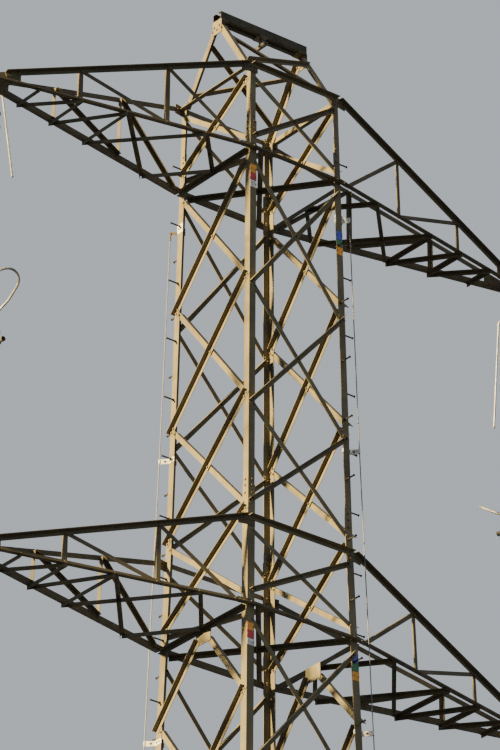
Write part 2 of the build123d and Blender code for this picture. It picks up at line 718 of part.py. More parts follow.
def insulator_string(level, side):
    """Fork, link, cap-and-pin discs and yoke plate of one suspension string."""
    x = string_x(level, side)
    lug_foot = string_top(level, side)
    strap_width, strap_wall = FORK_STRAP
    fork_foot = lug_foot - FORK_BLOCK
    shapes = []
    for face_y in (-1, 1):
        y = face_y * (LUG_WALL / 2 + strap_wall / 2)
        height = FORK_DROP + FORK_BLOCK
        shapes.append(Pos(x, y, fork_foot + height / 2) * Box(strap_width, strap_wall, height))
    block_z = lug_foot - CLEARANCE - (FORK_BLOCK - CLEARANCE) / 2
    shapes.append(Pos(x, 0, block_z) * Box(strap_width, LUG_WALL, FORK_BLOCK - CLEARANCE))
    stack_top = fork_foot - LINK_LENGTH
    stack_foot = stack_top - DISC_COUNT * DISC_PITCH
    shapes.append(polygon_prism(Vector(x, 0, fork_foot), LINK_RADIUS, LINK_SIDES, LINK_LENGTH))
    shapes.append(polygon_prism(Vector(x, 0, stack_top), CORE_RADIUS, DISC_SIDES, DISC_COUNT * DISC_PITCH))
    flare = math.degrees(math.atan((DISC_RADIUS - CORE_RADIUS) * math.cos(math.pi / DISC_SIDES) / DISC_DEPTH))
    for index in range(DISC_COUNT):
        rim_z = stack_top - (index + 1) * DISC_PITCH + (DISC_PITCH - DISC_DEPTH) / 2
        rim = Pos(x, 0, rim_z) * RegularPolygon(DISC_RADIUS, DISC_SIDES)
        shapes.append(extrude(rim, amount=DISC_DEPTH, taper=flare))
    shapes.append(polygon_prism(Vector(x, 0, stack_foot), LINK_RADIUS, LINK_SIDES, LINK_LENGTH))
    half = YOKE_WIDTH / 2
    outline = [
        (-YOKE_SHOULDER / 2, 0),
        (YOKE_SHOULDER / 2, 0),
        (half, -YOKE_HEIGHT + YOKE_SHOULDER),
        (half, -YOKE_HEIGHT),
        (-half, -YOKE_HEIGHT),
        (-half, -YOKE_HEIGHT + YOKE_SHOULDER),
    ]
    corner = Vector(x, -YOKE_WALL / 2, stack_foot - LINK_LENGTH)
    shapes.append(flat_plate(corner, Vector(1, 0, 0), UP, outline, Vector(0, 1, 0), YOKE_WALL))
    return shapes


def wire_clamps(level, side):
    """The pair of suspension clamps under a yoke plate, each hung on two straps."""
    strap_width, strap_wall = CLAMP_STRAP
    yoke_top = string_top(level, side) - FORK_BLOCK - LINK_LENGTH - DISC_COUNT * DISC_PITCH - LINK_LENGTH
    clamp_z = yoke_top - YOKE_HEIGHT - CLAMP_DROP
    shapes = []
    foot_z = clamp_z + CLAMP_RADIUS * math.cos(math.pi / CLAMP_SIDES)
    for end in (-1, 1):
        x = string_x(level, side) + end * CLAMP_SPACING / 2
        height = clamp_z + CLAMP_DROP + YOKE_SHOULDER - foot_z
        for face_y in (-1, 1):
            y = face_y * (YOKE_WALL / 2 + strap_wall / 2)
            shapes.append(Pos(x, y, foot_z + height / 2) * Box(strap_width, strap_wall, height))
        shapes.append(clamp_body(Vector(x, 0, clamp_z), CLAMP_LENGTH, CLAMP_RADIUS))
    return shapes


def wire_bore(centre, length):
    """Round way for a wire that runs along the line."""
    start = centre - Vector(0, length / 2, 0)
    return extrude(Plane(origin=start, z_dir=Vector(0, 1, 0)) * Circle(WIRE_RADIUS), amount=length)


def clamp_body(centre, length, radius):
    """Suspension clamp: a short bar along the line, bored for the wire."""
    start = centre - Vector(0, length / 2, 0)
    return polygon_prism(start, radius, CLAMP_SIDES, length, Vector(0, 1, 0)) - wire_bore(centre, length)


def gable_plane():
    """Distance from the middle to the inner faces of the leg tops, where the rafters bolt on."""
    return half_width(LEG_TOP_Z) - BODY_WALL


def rafter_line(side, end):
    """Middle line of the rafter from a leg top to the apex."""
    x = side * gable_plane()
    foot = Vector(x, end * (half_width(CAGE_TOP_Z) - INNER_INSET), CAGE_TOP_Z - RAFTER_FOOT_DROP)
    return foot, Vector(x, end * APEX_GAP, RIDGE_Z - APEX_DROP)


def peak_gable(side):
    """Two rafters on the legs of one side, with their apex plate and the seat of the ridge beam."""
    inward = Vector(-side, 0, 0)
    shapes = [angle_bar(*rafter_line(side, end), inward, RAFTER_BAR, UP) for end in (-1, 1)]
    x = side * gable_plane()
    plate = flat_plate(
        Vector(x, 0, RIDGE_Z - APEX_DEPTH),
        Vector(0, 1, 0),
        UP,
        box_outline(-APEX_HALF, APEX_HALF, 0, APEX_DEPTH),
        inward * -1,
        BODY_WALL,
    )
    seat_x = x + side * BODY_WALL - side * SEAT_LENGTH / 2
    seat = Pos(seat_x, 0, RIDGE_Z + SEAT_WALL / 2) * Box(SEAT_LENGTH, RIDGE_WIDTH, SEAT_WALL)
    return shapes + [plate, seat]


def peak_brace(end):
    """Crossed braces on the sloping front or back of the peak, between the rafter flanges."""
    foot, head = rafter_line(-1, end)
    run = (head - foot).normalized()
    normal = run.cross(Vector(1, 0, 0))
    normal = normal if normal.Z > 0 else normal * -1
    lift = normal * (RAFTER_BAR[0] / 2)
    low = foot + (head - foot) * HIP_FOOT_SHARE + lift
    high = foot + (head - foot) * HIP_HEAD_SHARE + lift
    inset = Vector(HIP_INSET, 0, 0)
    mirror = Vector(-2 * foot.X, 0, 0)
    depth = normal * -RAFTER_BAR[1]
    outer = (low + inset, high + mirror - inset)
    inner = (low + mirror - inset + depth, high + inset + depth)
    return crossed_pair(outer, inner, normal, TIE_BAR)


def ridge_beam():
    """Pair of channels, toe to toe, from gable to gable."""
    length = 2 * (gable_plane() + BODY_WALL)
    shapes = []
    for end in (-1, 1):
        outline = [
            (0, 0),
            (RIDGE_FLANGE, 0),
            (RIDGE_FLANGE, RIDGE_WALL),
            (RIDGE_WALL, RIDGE_WALL),
            (RIDGE_WALL, RIDGE_DEPTH - RIDGE_WALL),
            (RIDGE_FLANGE, RIDGE_DEPTH - RIDGE_WALL),
            (RIDGE_FLANGE, RIDGE_DEPTH),
            (0, RIDGE_DEPTH),
        ]
        corner = Vector(-length / 2, end * RIDGE_WIDTH / 2, RIDGE_Z + SEAT_WALL)
        shapes.append(flat_plate(corner, Vector(0, -end, 0), UP, outline, Vector(1, 0, 0), length))
    return shapes


def earth_wire_clamp():
    """Plate across the ridge channels, its lug and the clamp for the earth wire."""
    length, width, wall = EARTH_PLATE
    top = RIDGE_Z + SEAT_WALL
    lug_width, lug_drop, lug_wall = EARTH_LUG
    foot = top - wall - lug_drop
    centre = Vector(0, 0, foot)
    reach = lug_drop - EARTH_CLAMP_RADIUS * math.cos(math.pi / CLAMP_SIDES)
    lug = Pos(0, 0, top - wall - reach / 2) * Box(lug_width, lug_wall, reach)
    return [
        Pos(0, 0, top - wall / 2) * Box(length, width, wall),
        lug,
        clamp_body(centre, EARTH_CLAMP_LENGTH, EARTH_CLAMP_RADIUS),
    ]


def climbing_line(leg):
    """Taut climbing cable that runs beside the heel of a leg, on corner brackets."""
    out = Vector(leg[0], leg[1], 0)
    offset = out * LINE_OFFSET
    knots = [LINE_TOP_Z, KNEE_Z, HIP_Z, LINE_FOOT_Z]
    shapes = []
    for high, low in zip(knots, knots[1:]):
        start = heel(leg, high) + offset
        path = heel(leg, low) + offset - start
        profile = Pos(start) * RegularPolygon(LINE_RADIUS, LINE_SIDES)
        shapes.append(extrude(profile, amount=path.length, dir=path.normalized()))
    across = Vector(-leg[0], 0, 0)
    back = Vector(0, -leg[1], 0)
    beyond, spread = BRACKET_NOSE
    nose = out * (LINE_OFFSET + beyond)
    for level in BRACKET_LEVELS:
        base = heel(leg, level)
        corners = [
            base,
            base + across * BRACKET_REACH,
            base + nose + (across - back) * spread,
            base + nose - (across - back) * spread,
            base + back * BRACKET_REACH,
        ]
        run = (heel(leg, base.Z + BRACKET_WALL) - base).normalized()
        shapes.append(extrude(make_face(Polyline(*corners, close=True)), amount=BRACKET_WALL, dir=run))
    return shapes


def write_node(name, shapes):
    """Fuse the bars of one piece and write it under its own name."""
    piece = Part() + shapes
    piece.label = name
    export_step(piece, os.path.join("parts", name + ".step"))
    return piece


def build():
    """Write every piece of the pylon."""
    os.makedirs("parts", exist_ok=True)
    for name, leg in LEGS.items():
        write_node("leg_" + name, leg_member(leg))
        write_node("footing_" + name, footing(leg))
        write_node("foot_bracing_" + name, foot_bracing(leg))
    for face in FACES:
        write_node("body_bracing_" + face, body_face(face))
        write_node("lower_bracing_" + face, panel_stack(face, lower_levels(), LOWER_BAR, stagger(face)))
    write_node("waist_frame", waist_frame())
    for level in ARMS:
        write_node(f"{level}_arm_floor", arm_floor(level))
        for name, leg in LEGS.items():
            write_node(f"{level}_arm_truss_{name}", Truss(level, leg).shapes())
        for name, side in SIDES.items():
            write_node(f"{level}_insulator_{name}", insulator_string(level, side))
            write_node(f"{level}_wire_clamps_{name}", wire_clamps(level, side))
    for name, side in SIDES.items():
        write_node("peak_gable_" + name, peak_gable(side))
    write_node("peak_brace_front", peak_brace(-1))
    write_node("peak_brace_back", peak_brace(1))
    write_node("ridge_beam", ridge_beam())
    write_node("earth_wire_clamp", earth_wire_clamp())
    write_node("climbing_line_left", climbing_line(FAR_LEFT))
    write_node("climbing_line_right", climbing_line(NEAR_RIGHT))


build()
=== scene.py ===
"""Looks of a lattice transmission pylon, laid out as an add-on and run as a script.

Metres, +Z up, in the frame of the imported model: X runs across the line, Y along it. The steel of
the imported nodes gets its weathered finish, and the small parts that the nodes lack are modelled here.
"""
import json
import math

import bmesh
import bpy
from bpy.props import FloatProperty, FloatVectorProperty, PointerProperty
from mathutils import Matrix, Vector, geometry
from mathutils.bvhtree import BVHTree


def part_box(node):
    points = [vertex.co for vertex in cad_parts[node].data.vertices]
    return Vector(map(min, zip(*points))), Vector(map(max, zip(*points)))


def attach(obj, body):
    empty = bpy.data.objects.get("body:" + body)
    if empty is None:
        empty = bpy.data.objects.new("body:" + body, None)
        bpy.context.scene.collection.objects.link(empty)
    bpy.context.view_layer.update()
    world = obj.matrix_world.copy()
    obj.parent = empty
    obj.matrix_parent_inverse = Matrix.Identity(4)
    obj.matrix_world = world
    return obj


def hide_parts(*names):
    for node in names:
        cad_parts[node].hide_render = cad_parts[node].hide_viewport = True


bl_info = {
    "name": "Lattice Pylon Finish",
    "version": (1, 0, 0),
    "blender": (4, 5, 0),
    "location": "View3D > Sidebar > Pylon",
    "description": "Weathered steel, bolts, steps, insulators and plates of a lattice transmission pylon",
    "category": "Object",
}

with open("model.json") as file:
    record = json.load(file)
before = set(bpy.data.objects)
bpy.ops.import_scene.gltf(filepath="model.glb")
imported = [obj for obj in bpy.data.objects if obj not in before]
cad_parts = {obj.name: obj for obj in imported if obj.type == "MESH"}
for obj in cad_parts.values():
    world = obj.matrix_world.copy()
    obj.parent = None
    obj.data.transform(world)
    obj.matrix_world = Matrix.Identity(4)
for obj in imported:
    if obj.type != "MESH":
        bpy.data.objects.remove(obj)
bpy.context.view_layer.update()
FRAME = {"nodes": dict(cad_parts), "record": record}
NODES = FRAME["nodes"]
STEEL = "weathered_steel"
FITTINGS = "fittings_steel"
CABLE = "climbing_cable"
GLAZE = "insulator_glaze"
CONCRETE = "concrete"
NODE_SLOTS = {entry["node"]: entry["material_slot"] for entry in FRAME["record"]["subparts"]}

# Nodes whose names hold these words take darker copies of the weathered steel: painted shade on the arms,
# deeper painted shade on the ridge beam.
PAINTED_SHADE_STEELS = {"_arm_": "painted_shade_steel", "ridge_beam": "deep_painted_shade_steel"}

UP = Vector((0.0, 0.0, 1.0))
LEGS = {"front_left": (-1, -1), "back_left": (-1, 1), "back_right": (1, 1), "front_right": (1, -1)}
FACES = {
    "left": ("front_left", "back_left"),
    "back": ("back_left", "back_right"),
    "right": ("back_right", "front_right"),
    "front": ("front_right", "front_left"),
}
CLIMBED = {"back_left": "left", "front_right": "right"}

# Height of each pair of arms, their rise at the body and their reach
ARMS = {"upper": (33.0, 1.17, 3.95), "middle": (27.1, 1.12, 4.06), "bottom": (21.2, 1.12, 4.06)}
# Foot of each stretch of the body, half the width there and the taper above it
TAPERS = ((28.365, 0.74772, 0.0172), (21.1, 0.93807, 0.0262), (0.0, 3.6, 0.12616))
ARM_HEIGHTS = tuple(arm[0] for arm in ARMS.values())
CAGE_TOP = 34.17
WAIST = 4.5
KNEE = 28.365
LEG_JOINTS = (33.4, 28.625)
UPPER_LEVELS = (33.0, 31.28, 29.735, 28.365, 27.1)
SIDE_LEVELS = (26.1, 24.133, 22.167)
END_LEVELS = (27.1, 25.133, 23.167, 21.2)
LOWER_LEVELS = (21.2, 19.246, 16.992, 14.386, 11.431, 8.124, 4.5)
STRUT_SHARES = (0.19, 0.35, 0.52)
K_SHARE = 0.82
POST_SHARES = (0.35, 0.68)
CHORD = 0.060
TIP_HALF = 0.040

# How far braces stop under a level and over it, and how far from the heel they start
STOPS = {
    **dict.fromkeys(ARM_HEIGHTS, (-0.150, 0.180)),
    CAGE_TOP: (-0.180, 0.180), WAIST: (-0.180, 0.180), KNEE: (-0.030, 0.030),
}
GUSSET_INSET = 0.044
OUTER_INSET = 0.014
INNER_INSET = 0.070
STAGGER = 0.075

# Bolts of a leg joint: rise above it, and distance in from the heel
JOINT_RISES = (-0.110, -0.015, 0.060)
JOINT_INSET = 0.052

# Bolts along a truss, from its tip or its root
TIP_BOLTS = (0.07, 0.15, 0.24, 0.36)
TOP_TIP_BOLTS = (0.30, 0.39)
ROOT_BOLTS = (0.045, 0.09)

# Steps above the one under the upper arm, and how far each stands from the heel on its flange
STEPS_ABOVE = 4
STEP_INSETS = (0.040, 0.060)

# At each end of a string: reach and drop of the horn's tip, and slope of the hoop
HORN_TIPS = {-1: (0.49, 1.16), 1: (0.39, 1.39)}
HOOP_SLOPES = {-1: 39.0, 1: 33.5}

# Height of each bracket of the climbing lines, and how far out on each axis the cable is there
LINE_BRACKETS = (
    (32.51, 0.063), (29.485, 0.080), (25.98, 0.090), (22.71, 0.098), (19.91, 0.100), (17.21, 0.100),
    (14.66, 0.100), (11.71, 0.100), (8.36, 0.100), (5.61, 0.100), (2.91, 0.100),
)
STRAP_HEIGHT = 0.064
TOP_STRAP_HEIGHT = 0.120

# Foot of each stretch of the legs, and the width of its flanges
FLANGES = ((28.625, 0.090), (21.1, 0.100), (0.0, 0.130))

# How far outside a spot the steel is looked for
SEAT_REACH = 0.045

# Disc pitch for which the outlines of the discs are drawn
DRAWN_PITCH = 0.170

# The way to the key light
KEY_WAY = Vector((-0.94, 0.14, 0.24))


class PylonFinishes(bpy.types.PropertyGroup):
    """Colours of the finishes."""

    steel_pale: FloatVectorProperty(
        name="Pale steel", description="Old galvanising where it is cleanest", subtype="COLOR",
        size=3, min=0.0, max=1.0, default=(0.165, 0.140, 0.078),
    )
    steel_dull: FloatVectorProperty(
        name="Dull steel", description="Old galvanising under grime", subtype="COLOR",
        size=3, min=0.0, max=1.0, default=(0.085, 0.072, 0.044),
    )
    rust: FloatVectorProperty(
        name="Rust", description="Rust and lichen at the joints", subtype="COLOR",
        size=3, min=0.0, max=1.0, default=(0.170, 0.078, 0.022),
    )
    glaze: FloatVectorProperty(
        name="Glaze", description="Glazed porcelain of the discs", subtype="COLOR",
        size=3, min=0.0, max=1.0, default=(0.050, 0.024, 0.015),
    )
    concrete: FloatVectorProperty(
        name="Concrete", description="Cast caps round the feet", subtype="COLOR",
        size=3, min=0.0, max=1.0, default=(0.26, 0.25, 0.23),
    )


class PylonHardware(bpy.types.PropertyGroup):
    """Sizes of the small parts."""

    bolt_across: FloatProperty(
        name="Bolt head", description="Across the flats of a bolt head", unit="LENGTH", default=0.024,
    )
    step_length: FloatProperty(
        name="Step bolt", description="How far a step bolt stands out", unit="LENGTH", default=0.142,
    )
    step_pitch: FloatProperty(
        name="Step pitch", description="Rise from one step to the next", unit="LENGTH", default=0.380,
    )
    step_top: FloatProperty(
        name="Top step", description="Height of the step under the upper arm", unit="LENGTH", default=31.78,
    )
    step_foot: FloatProperty(
        name="Lowest step", description="No step bolt stands lower", unit="LENGTH", default=3.0,
    )
    disc_pitch: FloatProperty(
        name="Disc pitch", description="Height of one cap-and-pin disc", unit="LENGTH", default=0.170,
    )
    horn_rod: FloatProperty(
        name="Horn rod", description="Radius of the arcing horns", unit="LENGTH", default=0.011,
    )
    horn_hoop: FloatProperty(
        name="Hoop rod", description="Radius of the tube of the lower hoops", unit="LENGTH", default=0.014,
    )


class PylonView(bpy.types.PropertyGroup):
    """Viewpoint of the photograph and the studio light."""

    azimuth: FloatProperty(
        name="Azimuth", description="Turn of the view from along +Y", subtype="ANGLE",
        default=math.radians(-38.227),
    )
    elevation: FloatProperty(
        name="Elevation", description="Upward tilt of the view", subtype="ANGLE",
        default=math.radians(28.246),
    )
    roll: FloatProperty(
        name="Roll", description="Turn about the line of sight", subtype="ANGLE",
        default=math.radians(0.182),
    )
    target: FloatVectorProperty(
        name="Target", description="Point at the middle of the picture", subtype="TRANSLATION",
        unit="LENGTH", size=3, default=(-0.6545, -0.6572, 30.044),
    )
    distance: FloatProperty(
        name="Distance", description="From the eye to the target", unit="LENGTH", default=60.645,
    )
    lens: FloatProperty(
        name="Lens", description="Focal length in millimetres, for a long side of 36", default=258.85,
    )
    sun_strength: FloatProperty(
        name="Key light", description="Strength of the soft key light", default=25.0,
    )
    room_strength: FloatProperty(
        name="Room light", description="Strength of the even light of the studio", default=0.56,
    )


def finishes():
    """Colours as the user has set them."""
    return bpy.context.scene.pylon_finishes


def hardware():
    """Sizes of the small parts as the user has set them."""
    return bpy.context.scene.pylon_hardware


def colour(value):
    """Colour with its alpha, as a socket wants it."""
    return (*value, 1.0)


class Nodes:
    """Short hand for building a material's node tree."""

    def __init__(self, name):
        self.material = bpy.data.materials.new(name + "_finish")
        self.material.use_nodes = True
        self.tree = self.material.node_tree
        self.shader = self.tree.nodes["Principled BSDF"]
        self.place = self.add("ShaderNodeTexCoord").outputs["Object"]

    def add(self, kind, **settings):
        """New node with its settings."""
        node = self.tree.nodes.new(kind)
        for key, value in settings.items():
            setattr(node, key, value)
        return node

    def feed(self, source, socket):
        """Link an output to an input, or set a value on it."""
        if isinstance(source, bpy.types.NodeSocket):
            self.tree.links.new(source, socket)
        else:
            socket.default_value = source

    def scaled(self, scale):
        """Object coordinates, scaled on each axis."""
        mapping = self.add("ShaderNodeMapping")
        mapping.inputs["Scale"].default_value = scale
        self.feed(self.place, mapping.inputs["Vector"])
        return mapping.outputs["Vector"]

    def noise(self, scale, detail=3.0, roughness=0.55, stretch=None):
        """Noise from 0 to 1."""
        node = self.add("ShaderNodeTexNoise")
        node.inputs["Scale"].default_value = scale
        node.inputs["Detail"].default_value = detail
        node.inputs["Roughness"].default_value = roughness
        self.feed(self.scaled(stretch) if stretch else self.place, node.inputs["Vector"])
        return node.outputs["Fac"]

    def ramp(self, value, low, high):
        """Value stretched so that low becomes 0 and high becomes 1."""
        node = self.add("ShaderNodeMapRange")
        node.interpolation_type = "SMOOTHSTEP"
        node.inputs["From Min"].default_value = low
        node.inputs["From Max"].default_value = high
        self.feed(value, node.inputs["Value"])
        return node.outputs["Result"]

    def mix(self, share, first, second):
        """Mix of two colours, each a value or an output."""
        node = self.add("ShaderNodeMix", data_type="RGBA")
        for source, key in ((share, "Factor"), (first, "A"), (second, "B")):
            self.feed(source, next(s for s in node.inputs if s.name == key and s.enabled))
        return next(s for s in node.outputs if s.enabled)

    def product(self, first, second):
        """Two numbers multiplied."""
        node = self.add("ShaderNodeMath", operation="MULTIPLY")
        for source, socket in zip((first, second), node.inputs):
            self.feed(source, socket)
        return node.outputs["Value"]

    def bump(self, height, strength):
        """Bump of 2 mm on the shader's normal."""
        node = self.add("ShaderNodeBump")
        node.inputs["Strength"].default_value = strength
        node.inputs["Distance"].default_value = 0.002
        self.feed(height, node.inputs["Height"])
        self.feed(node.outputs["Normal"], self.shader.inputs["Normal"])

    def finish(self, base, roughness, metallic):
        """Colour, roughness and metallic on the shader."""
        for key, source in (("Base Color", base), ("Roughness", roughness), ("Metallic", metallic)):
            self.feed(source, self.shader.inputs[key])
        return self.material


def steel_finish(name, shade):
    """Old galvanised angle: dull patches, streaks that run down, specks of rust and lichen."""
    look = finishes()
    # A shade under 1 scales every colour down: painted shade, for the darker copies of the steel.
    pale, dull = (colour([part * shade for part in value]) for value in (look.steel_pale, look.steel_dull))
    n = Nodes(name)
    patches = n.ramp(n.noise(1.7, 4.0), 0.40, 0.70)
    streaks = n.ramp(n.noise(14.0, 3.0, 0.6, (1.0, 1.0, 0.08)), 0.42, 0.74)
    base = n.mix(n.product(patches, 0.75), pale, dull)
    base = n.mix(n.product(streaks, 0.40), base, dull)
    specks = n.ramp(n.noise(38.0, 4.0, 0.7), 0.56, 0.70)
    spread = n.ramp(n.noise(2.3, 3.0), 0.46, 0.62)
    base = n.mix(n.product(specks, spread), base, colour(look.rust))
    roughness = n.ramp(n.noise(9.0), -0.9, 1.1)
    n.bump(n.noise(160.0, 4.0, 0.65), 0.25)
    n.finish(base, roughness, 0.05)


def plain_finish(name, pale, dull, scale, roughness, metallic, relief=0.2):
    """Finish of two near colours in soft patches, with a fine grain."""
    n = Nodes(name)
    base = n.mix(n.ramp(n.noise(scale, 4.0), 0.35, 0.68), colour(pale), colour(dull))
    n.bump(n.noise(scale * 12, 4.0, 0.6), relief)
    return n.finish(base, roughness, metallic)


def made(name):
    """Finish that the finishes step made."""
    return bpy.data.materials[name + "_finish"]


def half_width(z):
    """Half the width of the body at a height."""
    foot, half, taper = next((stretch for stretch in TAPERS if z >= stretch[0]), TAPERS[-1])
    return half - taper * (z - foot)


def heel(leg, z):
    """Outer corner of a leg at a height."""
    half = half_width(z)
    return Vector((LEGS[leg][0] * half, LEGS[leg][1] * half, z))


def flange_ways(leg, first, second):
    """Way out of each of a leg's two flanges, and the step from the heel along it."""
    x, y = LEGS[leg]
    return (
        (Vector((x, 0.0, 0.0)), Vector((0.0, -y * first, 0.0))),
        (Vector((0.0, y, 0.0)), Vector((-x * second, 0.0, 0.0))),
    )


def along(face):
    """Level unit vector from the first leg of a face to the second."""
    first, second = (LEGS[leg] for leg in FACES[face])
    return Vector((second[0] - first[0], second[1] - first[1], 0.0)) / 2


def on_face(face, index, z, inset):
    """Point on a face, a distance in from one of its legs."""
    return heel(FACES[face][index], z) + along(face) * (inset if index == 0 else -inset)


def face_normal(face, high, low):
    """Normal out of a face between two heights."""
    leg = FACES[face][0]
    return (heel(leg, high) - heel(leg, low)).cross(along(face)).normalized()


def stop(z, below, shift):
    """How far a brace stops from a level."""
    under, over = STOPS.get(z, (shift, shift))
    return under if below else over


def inset_at(z):
    """How far from the heel the braces start at a level."""
    return GUSSET_INSET if z in (CAGE_TOP, *ARM_HEIGHTS, SIDE_LEVELS[-1]) else OUTER_INSET


def stack(levels, shift=0.0):
    """Crossed panels between neighbouring levels, by the heights and the insets of their ends."""
    return [
        (high + stop(high, True, shift), low + stop(low, False, shift), inset_at(high), inset_at(low))
        for high, low in zip(levels, levels[1:])
    ]


def stagger(face):
    """Braces meet the legs higher on the left and right faces than on the others."""
    return STAGGER if face in ("left", "right") else -STAGGER


def body_panels(face):
    """Crossed panels of a face from the bottom arm to the cage top."""
    cage = stack((CAGE_TOP, UPPER_LEVELS[0]))
    if face in ("left", "right"):
        return cage + stack(UPPER_LEVELS, stagger(face)) + stack(SIDE_LEVELS)
    under_knee = [(28.055, 27.28, GUSSET_INSET, GUSSET_INSET)]
    return cage + stack(UPPER_LEVELS[:-1], stagger(face)) + under_knee + stack(END_LEVELS)


def bolt_line(start, end, steps):
    """Points along a bar, each a step in from both of its ends."""
    run = (end - start).normalized()
    return [start + run * step for step in steps] + [end - run * step for step in steps]


def panel_bolts(face, panel, steps):
    """Where bolts go through the two crossed braces of a panel."""
    high, low, high_inset, low_inset = panel
    outer = on_face(face, 0, high, high_inset), on_face(face, 1, low, low_inset)
    inner = on_face(face, 1, high, INNER_INSET), on_face(face, 0, low, INNER_INSET)
    middle = geometry.intersect_line_line(*outer, *inner)[0]
    return [middle] + bolt_line(*outer, steps) + bolt_line(*inner, (OUTER_INSET,))


def aimed(spot, way):
    """Matrix that stands a shape on a spot, with its Z along the way."""
    return Matrix.Translation(spot) @ way.to_track_quat("Z", "Y").to_matrix().to_4x4()


def soften(shape, edges, offset):
    """Small chamfer on some edges."""
    bmesh.ops.bevel(
        shape, geom=list(edges), offset=offset, segments=1, profile=0.5, affect="EDGES", material=-1,
        clamp_overlap=True,
    )


def soften_new(shape, kept, offset):
    """Small chamfer on the edges of all but the kept corners."""
    soften(shape, {edge for vert in shape.verts if vert not in kept for edge in vert.link_edges}, offset)


def bar(shape, low, high, radius, sides, chamfer=0.0):
    """Bar between two heights on Z, with its top edge broken where there is a chamfer."""
    kept = set(shape.faces)
    bmesh.ops.create_cone(
        shape, cap_ends=True, segments=sides, radius1=radius, radius2=radius, depth=high - low,
        matrix=Matrix.Translation((0.0, 0.0, (low + high) / 2)),
    )
    if chamfer:
        new = [face for face in shape.faces if face not in kept]
        soften(shape, max(new, key=lambda face: face.calc_center_median().z).edges, chamfer)


def turned(shape, outline, steps, closed=False):
    """Body turned about Z from an outline of radii and heights."""
    points = [shape.verts.new((radius, 0.0, height)) for radius, height in outline]
    edges = [shape.edges.new(pair) for pair in zip(points, points[1:])]
    if closed:
        edges.append(shape.edges.new((points[-1], points[0])))
    bmesh.ops.spin(
        shape, geom=points + edges, cent=(0.0, 0.0, 0.0), axis=UP, angle=math.tau, steps=steps,
        use_merge=True,
    )
    bmesh.ops.remove_doubles(shape, verts=shape.verts, dist=1e-5)


def slab(shape, centre, size, chamfer, turn=None):
    """Flat bar or plate by its centre and its size, with its edges broken."""
    kept = set(shape.verts)
    place = Matrix.Translation(centre) @ (turn or Matrix()) @ Matrix.Diagonal((*size, 1.0))
    bmesh.ops.create_cube(shape, size=1.0, matrix=place)
    soften_new(shape, kept, chamfer)


def rod(shape, path, radius, sides=8, closed=False):
    """Round rod along a path: a ring at each point, turned to the bend and bridged to the next."""
    rings = []
    last = len(path) - 1
    for index, point in enumerate(path):
        before = path[index - 1] if index or closed else point
        after = path[(index + 1) % len(path)] if index < last or closed else point
        run = (point - before).normalized() + (after - point).normalized()
        place = aimed(point, run)
        ring = bmesh.ops.create_circle(shape, segments=sides, radius=radius, matrix=place)["verts"]
        rings.append(list({edge for vert in ring for edge in vert.link_edges}))
    pairs = list(zip(rings, rings[1:]))
    if closed:
        pairs.append((rings[-1], rings[0]))
    for first, second in pairs:
        bmesh.ops.bridge_loops(shape, edges=first + second)
    if not closed:
        bmesh.ops.holes_fill(shape, edges=rings[0] + rings[-1], sides=sides)


def arc(centre, start, axis, angle, steps):
    """Points that swing about an axis through a centre."""
    return [
        centre + Matrix.Rotation(angle * step / steps, 3, axis) @ (start - centre)
        for step in range(steps + 1)
    ]


def outward(shape):
    """Turn the faces of closed shapes outwards."""
    bmesh.ops.recalc_face_normals(shape, faces=shape.faces)


def pattern(build, *sizes):
    """Mesh of a small part about the origin, to be stamped many times."""
    shape = bmesh.new()
    build(shape, *sizes)
    outward(shape)
    mesh = bpy.data.meshes.new(build.__name__)
    shape.to_mesh(mesh)
    shape.free()
    return mesh


def stamp(shape, mesh, place):
    """Copy of a pattern in the shape, put in its place by a matrix."""
    copy = mesh.copy()
    copy.transform(place)
    shape.from_mesh(copy)
    bpy.data.meshes.remove(copy)


def placed(name, data):
    """New object in the scene."""
    item = bpy.data.objects.new(name, data)
    bpy.context.scene.collection.objects.link(item)
    return item


def solid(name, shape, material):
    """New object from a shape, with its finish."""
    mesh = bpy.data.meshes.new(name)
    shape.to_mesh(mesh)
    shape.free()
    mesh.materials.append(material)
    return placed(name, mesh)


def piece(name, shape, slot, material, *nodes):
    """Finished piece that rides on the body, and stands for the nodes that are named."""
    item = solid(name, shape, material)
    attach(item, "root")
    if nodes:
        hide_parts(*nodes)


class Steelwork:
    """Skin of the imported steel, on which small parts are set."""

    def __init__(self, *words):
        shape = bmesh.new()
        for name, node in NODES.items():
            if any(word in name for word in words):
                shape.from_mesh(node.data)
        self.skin = BVHTree.FromBMesh(shape)
        shape.free()

    def seat(self, spot, way):
        """Where a line along the way meets the outside of the steel near a spot."""
        found, normal, _, _ = self.skin.ray_cast(spot + way * SEAT_REACH, -way, SEAT_REACH * 1.8)
        return found if found and normal.dot(way) > 0.9 else None


def bolt_head(shape, across):
    """Hexagon head with its corners turned off, on a washer."""
    bar(shape, -0.001, 0.003, across * 0.66, 10)
    bar(shape, 0.002, 0.002 + across * 0.42, across * 0.577, 6, across * 0.09)


def bolt_tail(shape, across):
    """Nut with the end of the bolt."""
    bar(shape, -0.001, across * 0.46, across * 0.577, 6)
    bar(shape, -0.001, across * 0.72, across * 0.31, 8)


def bolts(name, steel, spots):
    """Piece of bolts, each with its head on one side of the steel and its nut on the other."""
    across = hardware().bolt_across
    head = pattern(bolt_head, across)
    tail = pattern(bolt_tail, across)
    shape = bmesh.new()
    for spot, way in spots:
        for mesh, side in ((head, way), (tail, -way)):
            seat = steel.seat(spot, side)
            if seat:
                stamp(shape, mesh, aimed(seat, side))
    if not shape.faces:
        raise RuntimeError(f"no bolt of {name} found its steel")
    piece(name, shape, FITTINGS, made("bolt_steel"))


